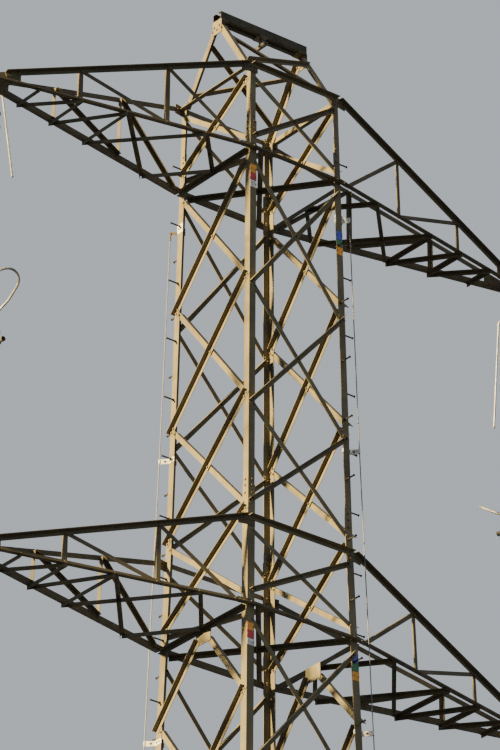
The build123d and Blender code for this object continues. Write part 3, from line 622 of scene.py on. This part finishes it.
class Truss:
    """Lines of one upright side of a cross-arm, through a leg heel and the arm tip."""

    def __init__(self, level, leg):
        arm_z, rise, reach = ARMS[level]
        self.x, self.y = LEGS[leg]
        self.root = heel(leg, arm_z)
        self.root_top = heel(leg, arm_z + rise)
        self.tip = Vector((self.x * reach, self.y * TIP_HALF, arm_z))
        normal = (self.root_top - self.root).cross(self.tip - self.root).normalized()
        self.normal = normal if normal.y * self.y > 0 else -normal
        self.run = (self.tip - self.root).normalized()
        up = self.normal.cross(self.run)
        self.up = up if up.z > 0 else -up

    def bottom(self, share):
        """Point in the middle of the bottom chord, from 0 at the tip to 1 at the leg."""
        return self.tip.lerp(self.root, share) + self.up * (CHORD / 2)

    def top(self, share):
        """Point in the middle of the top chord."""
        low = self.tip + self.up * (CHORD / 2)
        return low.lerp(self.root_top - self.up * (CHORD / 2), share)

    def floor(self, share):
        """Point on the outer flange of the bottom chord."""
        return self.tip.lerp(self.root, share) + Vector((0.0, self.y * 0.045, 0.0))

    def bolts(self):
        """Bolts through the truss: web members, root plates and tip plate."""
        posts = [(self.bottom(share), self.top(share)) for share in POST_SHARES]
        braces = [(posts[0][1], posts[1][0]), (posts[1][1], self.bottom(0.96))]
        spots = [spot for line in posts + braces for spot in bolt_line(*line, (0.015,))]
        length = (self.tip - self.root).length
        spots += [self.bottom(step / length) for step in TIP_BOLTS]
        spots += [self.top(step / length) for step in TOP_TIP_BOLTS]
        spots += [self.bottom(1.0 - step / length) for step in ROOT_BOLTS]
        spots += [self.top(1.0 - step / length) for step in ROOT_BOLTS]
        return [(spot, self.normal) for spot in spots]

    def root_bolts(self):
        """Bolts through the root plates, the chord ties and the leg."""
        out = Vector((0.0, self.y, 0.0))
        inset = Vector((-self.x * 0.05, 0.0, 0.0))
        height = self.root_top.z - self.root.z
        lean = (self.root_top - self.root) / height
        rises = (0.018, 0.045, height - 0.03, height - 0.095)
        return [(self.root + lean * rise + inset, out) for rise in rises]


def floor_bolts(level, side):
    """Bolts through the ends of the floor bars under one arm, and through its tip plate."""
    near, far = (Truss(level, f"{end}_{'left' if side < 0 else 'right'}") for end in ("front", "back"))
    first, second = (far, near) if side < 0 else (near, far)
    outer, middle, inner = STRUT_SHARES
    lines = [(near.floor(share), far.floor(share)) for share in STRUT_SHARES]
    lines += [(first.floor(outer), second.floor(middle)), (first.floor(middle), second.floor(inner))]
    lines += [(near.floor(inner), far.floor(K_SHARE)), (far.floor(inner), near.floor(K_SHARE))]
    spots = [spot for line in lines for spot in bolt_line(*line, (0.005,))]
    spots += [truss.floor(K_SHARE) for truss in (near, far)]
    end = near.tip.x
    spots += [Vector((end - side * step, y, near.tip.z)) for step in (0.03, 0.22) for y in (-0.085, 0.085)]
    return [(spot, -UP) for spot in spots]


def step_bolt(shape, length):
    """Step bolt: nut, bar and a round head."""
    bar(shape, -0.001, 0.014, 0.017, 6)
    bar(shape, -0.024, length - 0.004, 0.0095, 8)
    bar(shape, length - 0.010, length, 0.0145, 10, 0.004)


def disc_shed(shape, pitch):
    """Porcelain shed with two drip ribs under it."""
    outline = (
        (0.0, -0.050), (0.052, -0.052), (0.098, -0.068), (0.128, -0.089), (0.1395, -0.106),
        (0.138, -0.114), (0.129, -0.112), (0.118, -0.098), (0.106, -0.097), (0.100, -0.116),
        (0.092, -0.116), (0.084, -0.095), (0.070, -0.113), (0.062, -0.113), (0.054, -0.092), (0.0, -0.104),
    )
    turned(shape, [(radius, height * pitch / DRAWN_PITCH) for radius, height in outline], 20)


def disc_cap(shape, pitch):
    """Iron cap over the shed and the pin below it."""
    cap = (
        (0.0, 0.0), (0.027, 0.0), (0.040, -0.007), (0.045, -0.018), (0.047, -0.040), (0.056, -0.056),
        (0.0, -0.060),
    )
    pin = (
        (0.0, -0.098), (0.020, -0.100), (0.0105, -0.118), (0.0105, -0.160), (0.016, -0.172), (0.0, -0.174),
    )
    for outline, steps in ((cap, 14), (pin, 8)):
        turned(shape, [(radius, height * pitch / DRAWN_PITCH) for radius, height in outline], steps)


class StringPlace:
    """Levels of one insulator string, read from the box of its node."""

    def __init__(self, level, side):
        self.level = level
        self.side = side
        low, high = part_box(self.named("insulator"))
        self.x = (low[0] + high[0]) / 2
        self.lug_foot = high[2] - 0.070
        self.stack_top = self.lug_foot - 0.184
        self.yoke_foot = low[2]
        self.yoke_top = low[2] + 0.160
        self.stack_foot = self.yoke_top + 0.150
        self.count = round((self.stack_top - self.stack_foot) / hardware().disc_pitch)

    def named(self, word):
        """Name of one of the string's pieces or nodes."""
        return f"{self.level}_{word}_{self.side}"

    def at(self, z, x=0.0, y=0.0):
        """Point on the string's axis or beside it, at a true height."""
        return Vector((self.x + x, y, z))


def strings():
    """Places of the six insulator strings."""
    return [StringPlace(level, side) for level in ARMS for side in ("left", "right")]


def clamp_body(shape):
    """Suspension clamp about Z: a bell-mouthed tube with a keeper and two U-bolts."""
    outline = (
        (0.0155, -0.105), (0.024, -0.130), (0.031, -0.128), (0.024, -0.070), (0.026, -0.050),
        (0.026, 0.050), (0.024, 0.070), (0.031, 0.128), (0.024, 0.130), (0.0155, 0.105),
    )
    turned(shape, outline, 16, closed=True)
    for z in (-0.035, 0.035):
        bend = arc(Vector((0.0, 0.0, z)), Vector((0.0, 0.032, z)), UP, math.pi, 8)
        rod(shape, [Vector((0.046, 0.032, z))] + bend + [Vector((0.046, -0.032, z))], 0.006, 6)
        for y in (-0.032, 0.032):
            slab(shape, Vector((0.039, y, z)), (0.010, 0.013, 0.018), 0.002)
    slab(shape, Vector((0.030, 0.0, 0.0)), (0.010, 0.076, 0.100), 0.003)


class PYLON_OT_finishes(bpy.types.Operator):
    """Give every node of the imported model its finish"""

    bl_idname = "pylon.finishes"
    bl_label = "Finishes"

    def execute(self, context):
        look = finishes()
        steel_finish(STEEL, 1.0)
        # Darker copies of the same steel: painted shade for the arms, deeper painted shade for the ridge
        # beam.
        steel_finish("painted_shade_steel", 0.60)
        steel_finish("deep_painted_shade_steel", 0.30)
        plain_finish(FITTINGS, (0.13, 0.12, 0.10), (0.07, 0.055, 0.040), 30.0, 0.55, 0.3)
        plain_finish("bolt_steel", (0.135, 0.106, 0.060), (0.080, 0.052, 0.028), 18.0, 0.65, 0.1)
        plain_finish("step_steel", (0.020, 0.018, 0.015), (0.012, 0.009, 0.007), 25.0, 0.7, 0.0)
        plain_finish("white_paint", (0.66, 0.66, 0.64), (0.48, 0.48, 0.45), 22.0, 0.5, 0.0)
        plain_finish("horn_steel", (0.30, 0.30, 0.28), (0.16, 0.15, 0.13), 16.0, 0.45, 0.4)
        plain_finish(CABLE, (0.13, 0.135, 0.14), (0.08, 0.08, 0.08), 20.0, 0.45, 0.3)
        plain_finish(GLAZE, look.glaze, [c * 0.6 for c in look.glaze], 12.0, 0.12, 0.0, 0.04)
        plain_finish(CONCRETE, look.concrete, [c * 0.72 for c in look.concrete], 5.0, 0.9, 0.0, 0.4)
        for name, node in NODES.items():
            node.data.materials.clear()
            # Arm and ridge beam nodes take the painted-shade copies of the steel.
            steel = next((finish for word, finish in PAINTED_SHADE_STEELS.items() if word in name), NODE_SLOTS[name])
            node.data.materials.append(made(steel))
        return {"FINISHED"}


class PYLON_OT_body_bolts(bpy.types.Operator):
    """Bolt the braces and the leg joints of the body"""

    bl_idname = "pylon.body_bolts"
    bl_label = "Body bolts"

    def execute(self, context):
        steel = Steelwork("leg_", "bracing", "waist")
        upper = {face: body_panels(face) for face in FACES}
        lower = {face: stack(LOWER_LEVELS, stagger(face)) for face in FACES}
        bolts("upper_body_bolts", steel, self.crossed(upper, (0.032, 0.082)) + self.joints())
        bolts("lower_body_bolts", steel, self.crossed(lower, (0.035, 0.095)) + self.feet())
        return {"FINISHED"}

    def crossed(self, stacks, steps):
        """Bolts of the crossed panels on each face, at steps from the ends of the outer brace."""
        spots = []
        for face, panels in stacks.items():
            for panel in panels:
                way = face_normal(face, panel[0], panel[1])
                spots += [(spot, way) for spot in panel_bolts(face, panel, steps)]
        return spots

    def joints(self):
        """Bolts of the two splices of each leg, on both flanges."""
        spots = []
        for leg in LEGS:
            flanges = flange_ways(leg, JOINT_INSET, JOINT_INSET)
            for joint in LEG_JOINTS:
                for rise in JOINT_RISES:
                    spots += [(heel(leg, joint + rise) + inset, way) for way, inset in flanges]
        return spots

    def feet(self):
        """Bolts of the braces between the waist and the footings."""
        spots = []
        for face in FACES:
            way = face_normal(face, WAIST, 0.5)
            for index in (0, 1):
                head = on_face(face, index, WAIST - 0.190, half_width(WAIST - 0.190) - 0.150)
                foot = on_face(face, index, 0.610, 0.044)
                spots += [(spot, way) for spot in bolt_line(foot, head, (0.04, 0.10))]
        return spots


class PYLON_OT_arm_bolts(bpy.types.Operator):
    """Bolt the trusses, the root plates and the floors of the cross-arms"""

    bl_idname = "pylon.arm_bolts"
    bl_label = "Arm bolts"

    def execute(self, context):
        for level in ARMS:
            steel = Steelwork(level + "_arm", "leg_", "body_bracing")
            spots = floor_bolts(level, -1) + floor_bolts(level, 1)
            for leg in LEGS:
                truss = Truss(level, leg)
                spots += truss.bolts() + truss.root_bolts()
            bolts(level + "_arm_bolts", steel, spots)
        self.peak()
        return {"FINISHED"}

    def peak(self):
        """Bolts of the gables, on the legs and on the apex plates."""
        spots = []
        for side in (-1, 1):
            way = Vector((side, 0.0, 0.0))
            x = side * half_width(CAGE_TOP)
            for y in (-1, 1):
                foot = Vector((x, y * (half_width(CAGE_TOP) - 0.060), CAGE_TOP - 0.02))
                head = Vector((x, y * 0.050, 34.975))
                spots += [(spot, way) for spot in bolt_line(foot, head, (0.0, 0.055))]
            spots.append((Vector((x, 0.0, 34.93)), way))
        bolts("peak_bolts", Steelwork("peak", "leg_"), spots)


class PYLON_OT_steps(bpy.types.Operator):
    """Set step bolts on the two legs that are climbed, first on one flange, then on the other"""

    bl_idname = "pylon.steps"
    bl_label = "Step bolts"

    def execute(self, context):
        sizes = hardware()
        steel = Steelwork("leg_")
        mesh = pattern(step_bolt, sizes.step_length)
        for leg in CLIMBED:
            shape = bmesh.new()
            count = int((sizes.step_top - sizes.step_foot) / sizes.step_pitch)
            flanges = flange_ways(leg, *STEP_INSETS)
            for index in range(-STEPS_ABOVE, count):
                z = sizes.step_top - index * sizes.step_pitch
                way, inset = flanges[index % 2]
                seat = steel.seat(heel(leg, z) + inset, way)
                if seat and abs(z - UPPER_LEVELS[0]) > 0.12:
                    stamp(shape, mesh, aimed(seat, way))
            piece("step_bolts_" + leg, shape, FITTINGS, made("step_steel"))
        return {"FINISHED"}


class PYLON_OT_climbing(bpy.types.Operator):
    """Model the climbing lines: a taut cable beside the heel of each climbed leg, on strap brackets"""

    bl_idname = "pylon.climbing"
    bl_label = "Climbing lines"

    def execute(self, context):
        head = pattern(bolt_head, 0.019)
        for leg, side in CLIMBED.items():
            straps = bmesh.new()
            fittings = bmesh.new()
            for z, offset in LINE_BRACKETS[1:]:
                self.strap(straps, leg, z, STRAP_HEIGHT)
                self.arm(straps, leg, z, offset, STRAP_HEIGHT)
                self.screws(fittings, head, leg, z, offset * 0.9)
            top_z, top_offset = LINE_BRACKETS[0]
            self.strap(straps, leg, top_z, TOP_STRAP_HEIGHT)
            if side == "left":
                self.arm(fittings, leg, top_z - 0.045, top_offset, 0.036)
            else:
                self.arm(straps, leg, top_z, top_offset, 0.072)
            self.screws(fittings, head, leg, top_z, 0.0)
            for shape in (straps, fittings):
                outward(shape)
            cable = self.cable(fittings, leg)
            piece("climbing_cable_" + side, cable, CABLE, made(CABLE), "climbing_line_" + side)
            piece("bracket_straps_" + side, straps, CABLE, made("white_paint"))
            piece("bracket_fittings_" + side, fittings, FITTINGS, made("bolt_steel"))
        return {"FINISHED"}

    def beside(self, leg, z, offset):
        """Point beside the heel of a leg, out by an offset on each axis."""
        x, y = LEGS[leg]
        return heel(leg, z) + Vector((x * offset, y * offset, 0.0))

    def strap(self, shape, leg, z, height):
        """Plate on the flange that looks across the line, with a hook round the toe of the other flange."""
        x, y = LEGS[leg]
        corner = heel(leg, z)
        flange = next(width for foot, width in FLANGES if z >= foot)
        size = (0.007, flange + 0.014, height)
        slab(shape, corner + Vector((x * 0.002, -y * (flange / 2 - 0.002), 0.0)), size, 0.001)
        toe = corner + Vector((-x * (flange + 0.002), -y * 0.006, 0.0))
        slab(shape, toe, (0.008, 0.026, height * 0.8), 0.001)

    def arm(self, shape, leg, z, offset, height):
        """Upright plate from the heel of the leg to the cable, with a short clip round it."""
        x, y = LEGS[leg]
        turn = Matrix.Rotation(math.atan2(y, x), 4, "Z")
        reach = offset * math.sqrt(2.0) + 0.02
        slab(shape, self.beside(leg, z, offset / 2), (reach, 0.005, height), 0.001, turn)
        slab(shape, self.beside(leg, z, offset), (0.020, 0.022, height * 0.8), 0.003, turn)

    def screws(self, shape, head, leg, z, offset):
        """Bolt heads on the strap and, where there is an offset, on both sides of the arm."""
        x, y = LEGS[leg]
        way = Vector((x, 0.0, 0.0))
        for inset in (0.025, 0.070):
            stamp(shape, head, aimed(heel(leg, z) + Vector((x * 0.0055, -y * inset, 0.0)), way))
        if offset:
            level = Vector((-y, x, 0.0)).normalized()
            for side in (level, -level):
                stamp(shape, head, aimed(self.beside(leg, z, offset / 2) + side * 0.0025, side))

    def cable(self, fittings, leg):
        """Cable from the top bracket to the lowest; its two end fittings go with the brackets' bolts."""
        top_z, top_offset = LINE_BRACKETS[0]
        foot_z, foot_offset = LINE_BRACKETS[-1]
        path = [self.beside(leg, top_z - 0.060, top_offset)]
        path += [self.beside(leg, z, offset) for z, offset in LINE_BRACKETS[1:]]
        path.append(self.beside(leg, foot_z - 0.30, foot_offset))
        rod(fittings, [path[0] + UP * 0.012, path[0] - UP * 0.075], 0.012, 10)
        rod(fittings, [path[-1] + UP * 0.20, path[-1]], 0.014, 10)
        shape = bmesh.new()
        rod(shape, path, 0.006)
        outward(shape)
        return shape


class PYLON_OT_strings(bpy.types.Operator):
    """Model the six insulator strings and their fittings"""

    bl_idname = "pylon.strings"
    bl_label = "Insulator strings"

    def execute(self, context):
        pitch = hardware().disc_pitch
        shed = pattern(disc_shed, pitch)
        cap = pattern(disc_cap, pitch)
        for place in strings():
            sheds = bmesh.new()
            fittings = bmesh.new()
            for index in range(place.count):
                spot = Matrix.Translation(place.at(place.stack_top - index * pitch))
                stamp(sheds, shed, spot)
                stamp(fittings, cap, spot)
            self.hanger(fittings, place)
            self.yoke(fittings, place)
            outward(fittings)
            piece(place.named("sheds"), sheds, GLAZE, made(GLAZE), place.named("insulator"))
            piece(place.named("string_fittings"), fittings, FITTINGS, made(FITTINGS))
        return {"FINISHED"}

    def hanger(self, shape, place):
        """Shackle on the lug, a link in it and the ball eye of the first cap."""
        z = place.lug_foot
        low = z - 0.022
        bend = arc(place.at(low), place.at(low, y=0.022), Vector((-1.0, 0.0, 0.0)), math.pi, 8)
        rod(shape, [place.at(z + 0.045, y=0.022)] + bend + [place.at(z + 0.045, y=-0.022)], 0.010)
        rod(shape, [place.at(z + 0.040, y=-0.044), place.at(z + 0.040, y=0.044)], 0.011)
        for y in (-0.022, 0.022):
            rod(shape, [place.at(z + 0.040, y=y - 0.009), place.at(z + 0.040, y=y + 0.009)], 0.022, 12)
        side = Vector((0.025, 0.0, 0.0))
        loop = []
        for end, out in ((place.at(z - 0.047), side), (place.at(z - 0.117), -side)):
            loop += arc(end, end + out, Vector((0.0, -1.0, 0.0)), math.pi, 6)
        rod(shape, loop, 0.009, closed=True)
        eye = place.at(z - 0.146)
        ring = arc(eye, eye + Vector((0.0, 0.022, 0.0)), Vector((1.0, 0.0, 0.0)), math.tau * 11 / 12, 11)
        rod(shape, ring, 0.009, closed=True)
        stem_foot = place.at(place.stack_top - 0.004)
        rod(shape, [place.at(z - 0.165), stem_foot], 0.014, 10)

    def yoke(self, shape, place):
        """Socket eye with its two straps, and the yoke plate with its bolts."""
        top = place.yoke_top
        high = place.stack_foot
        rod(shape, [place.at(high), place.at(high - 0.055)], 0.030, 12)
        for y in (-0.0145, 0.0145):
            slab(shape, place.at((high + top) / 2 - 0.045, y=y), (0.044, 0.010, 0.150), 0.003)
        outline = [(-0.03, 0.0), (-0.24, -0.10), (-0.24, -0.16), (0.24, -0.16), (0.24, -0.10), (0.03, 0.0)]
        kept = set(shape.verts)
        corners = [shape.verts.new(place.at(top + z, x=x, y=-0.009)) for x, z in outline]
        plate = bmesh.ops.extrude_face_region(shape, geom=[shape.faces.new(corners)])
        moved = [item for item in plate["geom"] if isinstance(item, bmesh.types.BMVert)]
        bmesh.ops.translate(shape, verts=moved, vec=(0.0, 0.018, 0.0))
        soften_new(shape, kept, 0.003)
        for x, z in ((0.0, top - 0.030), (-0.2, place.yoke_foot + 0.030), (0.2, place.yoke_foot + 0.030)):
            rod(shape, [place.at(z, x=x, y=-0.036), place.at(z, x=x, y=0.036)], 0.010)
            for y in (-0.030, 0.030):
                rod(shape, [place.at(z, x=x, y=y - 0.005), place.at(z, x=x, y=y + 0.005)], 0.017, 6)


class PYLON_OT_horns(bpy.types.Operator):
    """Bend the arcing horns over each string and the hoops under it"""

    bl_idname = "pylon.horns"
    bl_label = "Arcing horns"

    def execute(self, context):
        sizes = hardware()
        for place in strings():
            shape = bmesh.new()
            for end in HORN_TIPS:
                self.horn(shape, place, end, sizes.horn_rod)
                self.hoop(shape, place, end, sizes.horn_hoop)
            slab(shape, place.at(place.stack_top + 0.014), (0.044, 0.080, 0.026), 0.004)
            outward(shape)
            piece(place.named("horns"), shape, FITTINGS, made("horn_steel"))
        return {"FINISHED"}

    def horn(self, shape, place, end, radius):
        """Level rod from the string's top that bends down and slants away from the discs."""
        z = place.stack_top + 0.014
        out = end * 0.21
        swing = Vector((-end, 0.0, 0.0))
        bend = arc(place.at(z - 0.06, y=out), place.at(z, y=out), swing, math.pi * 0.45, 5)
        reach, drop = HORN_TIPS[end]
        tip = place.at(z - drop, y=end * reach)
        rod(shape, [place.at(z, y=end * 0.02)] + bend + [tip], radius)
        ball = bmesh.ops.create_icosphere(shape, subdivisions=2, radius=radius * 1.6)
        bmesh.ops.translate(shape, verts=ball["verts"], vec=tip)

    def hoop(self, shape, place, end, radius):
        """Racket-shaped hoop that rises from the yoke beside the lowest discs."""
        root = place.at((place.yoke_top + place.yoke_foot) / 2)
        slope = math.radians(HOOP_SLOPES[end])
        rise = Vector((0.0, end * math.cos(slope), math.sin(slope)))
        side = Vector((0.165, 0.0, 0.0))
        axis = side.cross(rise).normalized()
        bend = arc(root + rise * 0.525, root + rise * 0.525 + side, axis, math.pi, 12)
        ends = [root + rise * along + side * out for along, out in ((0.02, 0.25), (0.16, 0.62), (0.34, 0.94))]
        mirrored = [Vector((2 * place.x - point.x, point.y, point.z)) for point in reversed(ends)]
        rod(shape, ends + bend + mirrored, radius, 10)


class PYLON_OT_clamps(bpy.types.Operator):
    """Model the wire clamps under the yokes"""

    bl_idname = "pylon.clamps"
    bl_label = "Wire clamps"

    def execute(self, context):
        mesh = pattern(clamp_body)
        lying = Matrix.Rotation(math.radians(90.0), 4, "X") @ Matrix.Rotation(math.radians(90.0), 4, "Z")
        for place in strings():
            shape = bmesh.new()
            z = place.yoke_foot - 0.110
            for x in (-0.2, 0.2):
                stamp(shape, mesh, Matrix.Translation(place.at(z, x=x)) @ lying)
                for y in (-0.015, 0.015):
                    slab(shape, place.at(z + 0.098, x=x, y=y), (0.030, 0.012, 0.144), 0.002)
            outward(shape)
            piece(place.named("clamps"), shape, FITTINGS, made(FITTINGS), place.named("wire_clamps"))
        return {"FINISHED"}


class PYLON_OT_plates(bpy.types.Operator):
    """Fix the coloured circuit plates on the near flanges of two legs"""

    bl_idname = "pylon.plates"
    bl_label = "Circuit plates"

    def execute(self, context):
        enamels = {
            "orange": (1.0, 0.42, 0.010), "red": (0.62, 0.020, 0.035), "pale": (0.85, 0.85, 0.80),
            "blue": (0.045, 0.110, 0.62), "green": (0.030, 0.24, 0.110),
        }
        plates = (
            ("front_left", (("orange", 32.735, 0.115), ("red", 32.630, 0.085), ("pale", 32.535, 0.098))),
            ("front_left", (("orange", 26.840, 0.095), ("red", 26.743, 0.092), ("pale", 26.650, 0.085))),
            ("front_right", (("blue", 32.295, 0.110), ("green", 32.195, 0.078), ("orange", 32.090, 0.108))),
            ("front_right", (("blue", 26.893, 0.120), ("green", 26.778, 0.085), ("orange", 26.668, 0.110))),
        )
        steel = Steelwork("leg_")
        screw = pattern(bolt_head, 0.012)
        shapes = {name: bmesh.new() for name in enamels}
        screws = bmesh.new()
        for leg, bands in plates:
            x, y = LEGS[leg]
            way = Vector((0.0, y, 0.0))
            for name, z, height in bands:
                seat = steel.seat(heel(leg, z) + Vector((-x * 0.045, 0.0, 0.0)), way)
                if not seat:
                    raise RuntimeError(f"no leg behind the {name} plate at {z}")
                slab(shapes[name], seat + way * 0.0015, (0.092, 0.003, height - 0.003), 0.001)
                for step in (-0.036, 0.036):
                    stamp(screws, screw, aimed(seat + way * 0.003 + Vector((step, 0.0, 0.0)), way))
        for name, value in enamels.items():
            enamel = plain_finish(name + "_enamel", value, [c * 0.7 for c in value], 14.0, 0.4, 0.0, 0.1)
            outward(shapes[name])
            piece(name + "_plates", shapes[name], FITTINGS, enamel)
        piece("plate_screws", screws, FITTINGS, made("bolt_steel"))
        return {"FINISHED"}


class PYLON_OT_stage(bpy.types.Operator):
    """Set the pale floor, the soft studio light and the camera of the photograph"""

    bl_idname = "pylon.stage"
    bl_label = "Stage"

    def execute(self, context):
        setup = context.scene.pylon_view
        self.light(setup, self.floor())
        self.camera(setup)
        return {"FINISHED"}

    def floor(self):
        """Wide pale disc on the ground."""
        shape = bmesh.new()
        bmesh.ops.create_circle(shape, cap_ends=True, segments=96, radius=900.0)
        finish = plain_finish("floor", (0.80, 0.80, 0.78), (0.77, 0.77, 0.75), 0.2, 0.9, 0.0)
        disc = solid("floor", shape, finish)
        disc.location.z = -0.002
        return disc

    def light(self, setup, floor):
        """Room light, dimmer from below, and a warm, soft key light that spares all the floors."""
        world = bpy.context.scene.world or bpy.data.worlds.new("studio")
        bpy.context.scene.world = world
        world.use_nodes = True
        room = world.node_tree.nodes["Background"]
        room.inputs["Strength"].default_value = setup.room_strength
        add = world.node_tree.nodes.new
        link = world.node_tree.links.new
        split = add("ShaderNodeSeparateXYZ")
        link(add("ShaderNodeTexCoord").outputs["Generated"], split.inputs["Vector"])
        rise = add("ShaderNodeMapRange")
        rise.inputs["From Min"].default_value = -0.06
        rise.inputs["From Max"].default_value = 0.02
        link(split.outputs["Z"], rise.inputs["Value"])
        shades = add("ShaderNodeValToRGB")
        shades.color_ramp.elements[0].color = (0.20, 0.18, 0.15, 1.0)
        shades.color_ramp.elements[1].color = (0.86, 0.93, 1.0, 1.0)
        link(rise.outputs["Result"], shades.inputs["Fac"])
        link(shades.outputs["Color"], room.inputs["Color"])
        floor.visible_diffuse = False
        lamp = bpy.data.lights.new("key", "SUN")
        lamp.energy = setup.sun_strength
        lamp.color = (1.0, 0.75, 0.33)
        lamp.angle = math.radians(4.0)
        key = placed("key", lamp)
        key.rotation_mode = "QUATERNION"
        key.rotation_quaternion = KEY_WAY.to_track_quat("Z", "Y")
        spared = bpy.data.collections.new("spared_by_key")
        for flat in [floor] + [node for name, node in NODES.items() if "arm_floor" in name]:
            spared.objects.link(flat)
        key.light_linking.receiver_collection = spared
        for entry in spared.collection_objects:
            entry.light_linking.link_state = "EXCLUDE"

    def camera(self, setup):
        """Camera where the photograph was taken from."""
        cos_az = math.cos(setup.azimuth)
        sin_az = math.sin(setup.azimuth)
        cos_el = math.cos(setup.elevation)
        ahead = Vector((-sin_az * cos_el, cos_az * cos_el, math.sin(setup.elevation)))
        right = Vector((cos_az, sin_az, 0.0))
        up = right.cross(ahead)
        right_rolled = right * math.cos(setup.roll) + up * math.sin(setup.roll)
        up_rolled = up * math.cos(setup.roll) - right * math.sin(setup.roll)
        data = bpy.data.cameras.new("camera")
        data.lens = setup.lens
        data.sensor_width = 36.0
        data.clip_start = 1.0
        data.clip_end = 3000.0
        camera = placed("camera", data)
        turn = Matrix((right_rolled, up_rolled, -ahead)).transposed()
        eye = Vector(setup.target) - ahead * setup.distance
        camera.matrix_world = Matrix.Translation(eye) @ turn.to_4x4()
        bpy.context.scene.camera = camera


class PYLON_PT_panel(bpy.types.Panel):
    """Sizes, colours and steps of the pylon's finish."""

    bl_idname = "PYLON_PT_panel"
    bl_label = "Pylon"
    bl_space_type = "VIEW_3D"
    bl_region_type = "UI"
    bl_category = "Pylon"

    def draw(self, context):
        for group in GROUPS:
            box = self.layout.box()
            settings = getattr(context.scene, group)
            for key in settings.__annotations__:
                box.prop(settings, key)
        for operator in OPERATORS:
            self.layout.operator(operator.bl_idname)


GROUPS = {"pylon_finishes": PylonFinishes, "pylon_hardware": PylonHardware, "pylon_view": PylonView}
OPERATORS = (
    PYLON_OT_finishes,
    PYLON_OT_body_bolts,
    PYLON_OT_arm_bolts,
    PYLON_OT_steps,
    PYLON_OT_climbing,
    PYLON_OT_strings,
    PYLON_OT_horns,
    PYLON_OT_clamps,
    PYLON_OT_plates,
    PYLON_OT_stage,
)


def register():
    """Register the groups, the operators and the panel."""
    for cls in (*GROUPS.values(), *OPERATORS, PYLON_PT_panel):
        bpy.utils.register_class(cls)
    for name, group in GROUPS.items():
        setattr(bpy.types.Scene, name, PointerProperty(type=group))


def unregister():
    """Take back what register made."""
    for name in GROUPS:
        delattr(bpy.types.Scene, name)
    for cls in reversed((*GROUPS.values(), *OPERATORS, PYLON_PT_panel)):
        bpy.utils.unregister_class(cls)


def main():
    """Run every step in order."""
    register()
    bpy.ops.pylon.finishes()
    bpy.ops.pylon.body_bolts()
    bpy.ops.pylon.arm_bolts()
    bpy.ops.pylon.steps()
    bpy.ops.pylon.climbing()
    bpy.ops.pylon.strings()
    bpy.ops.pylon.horns()
    bpy.ops.pylon.clamps()
    bpy.ops.pylon.plates()
    bpy.ops.pylon.stage()


if __name__ == "__main__":
    main()
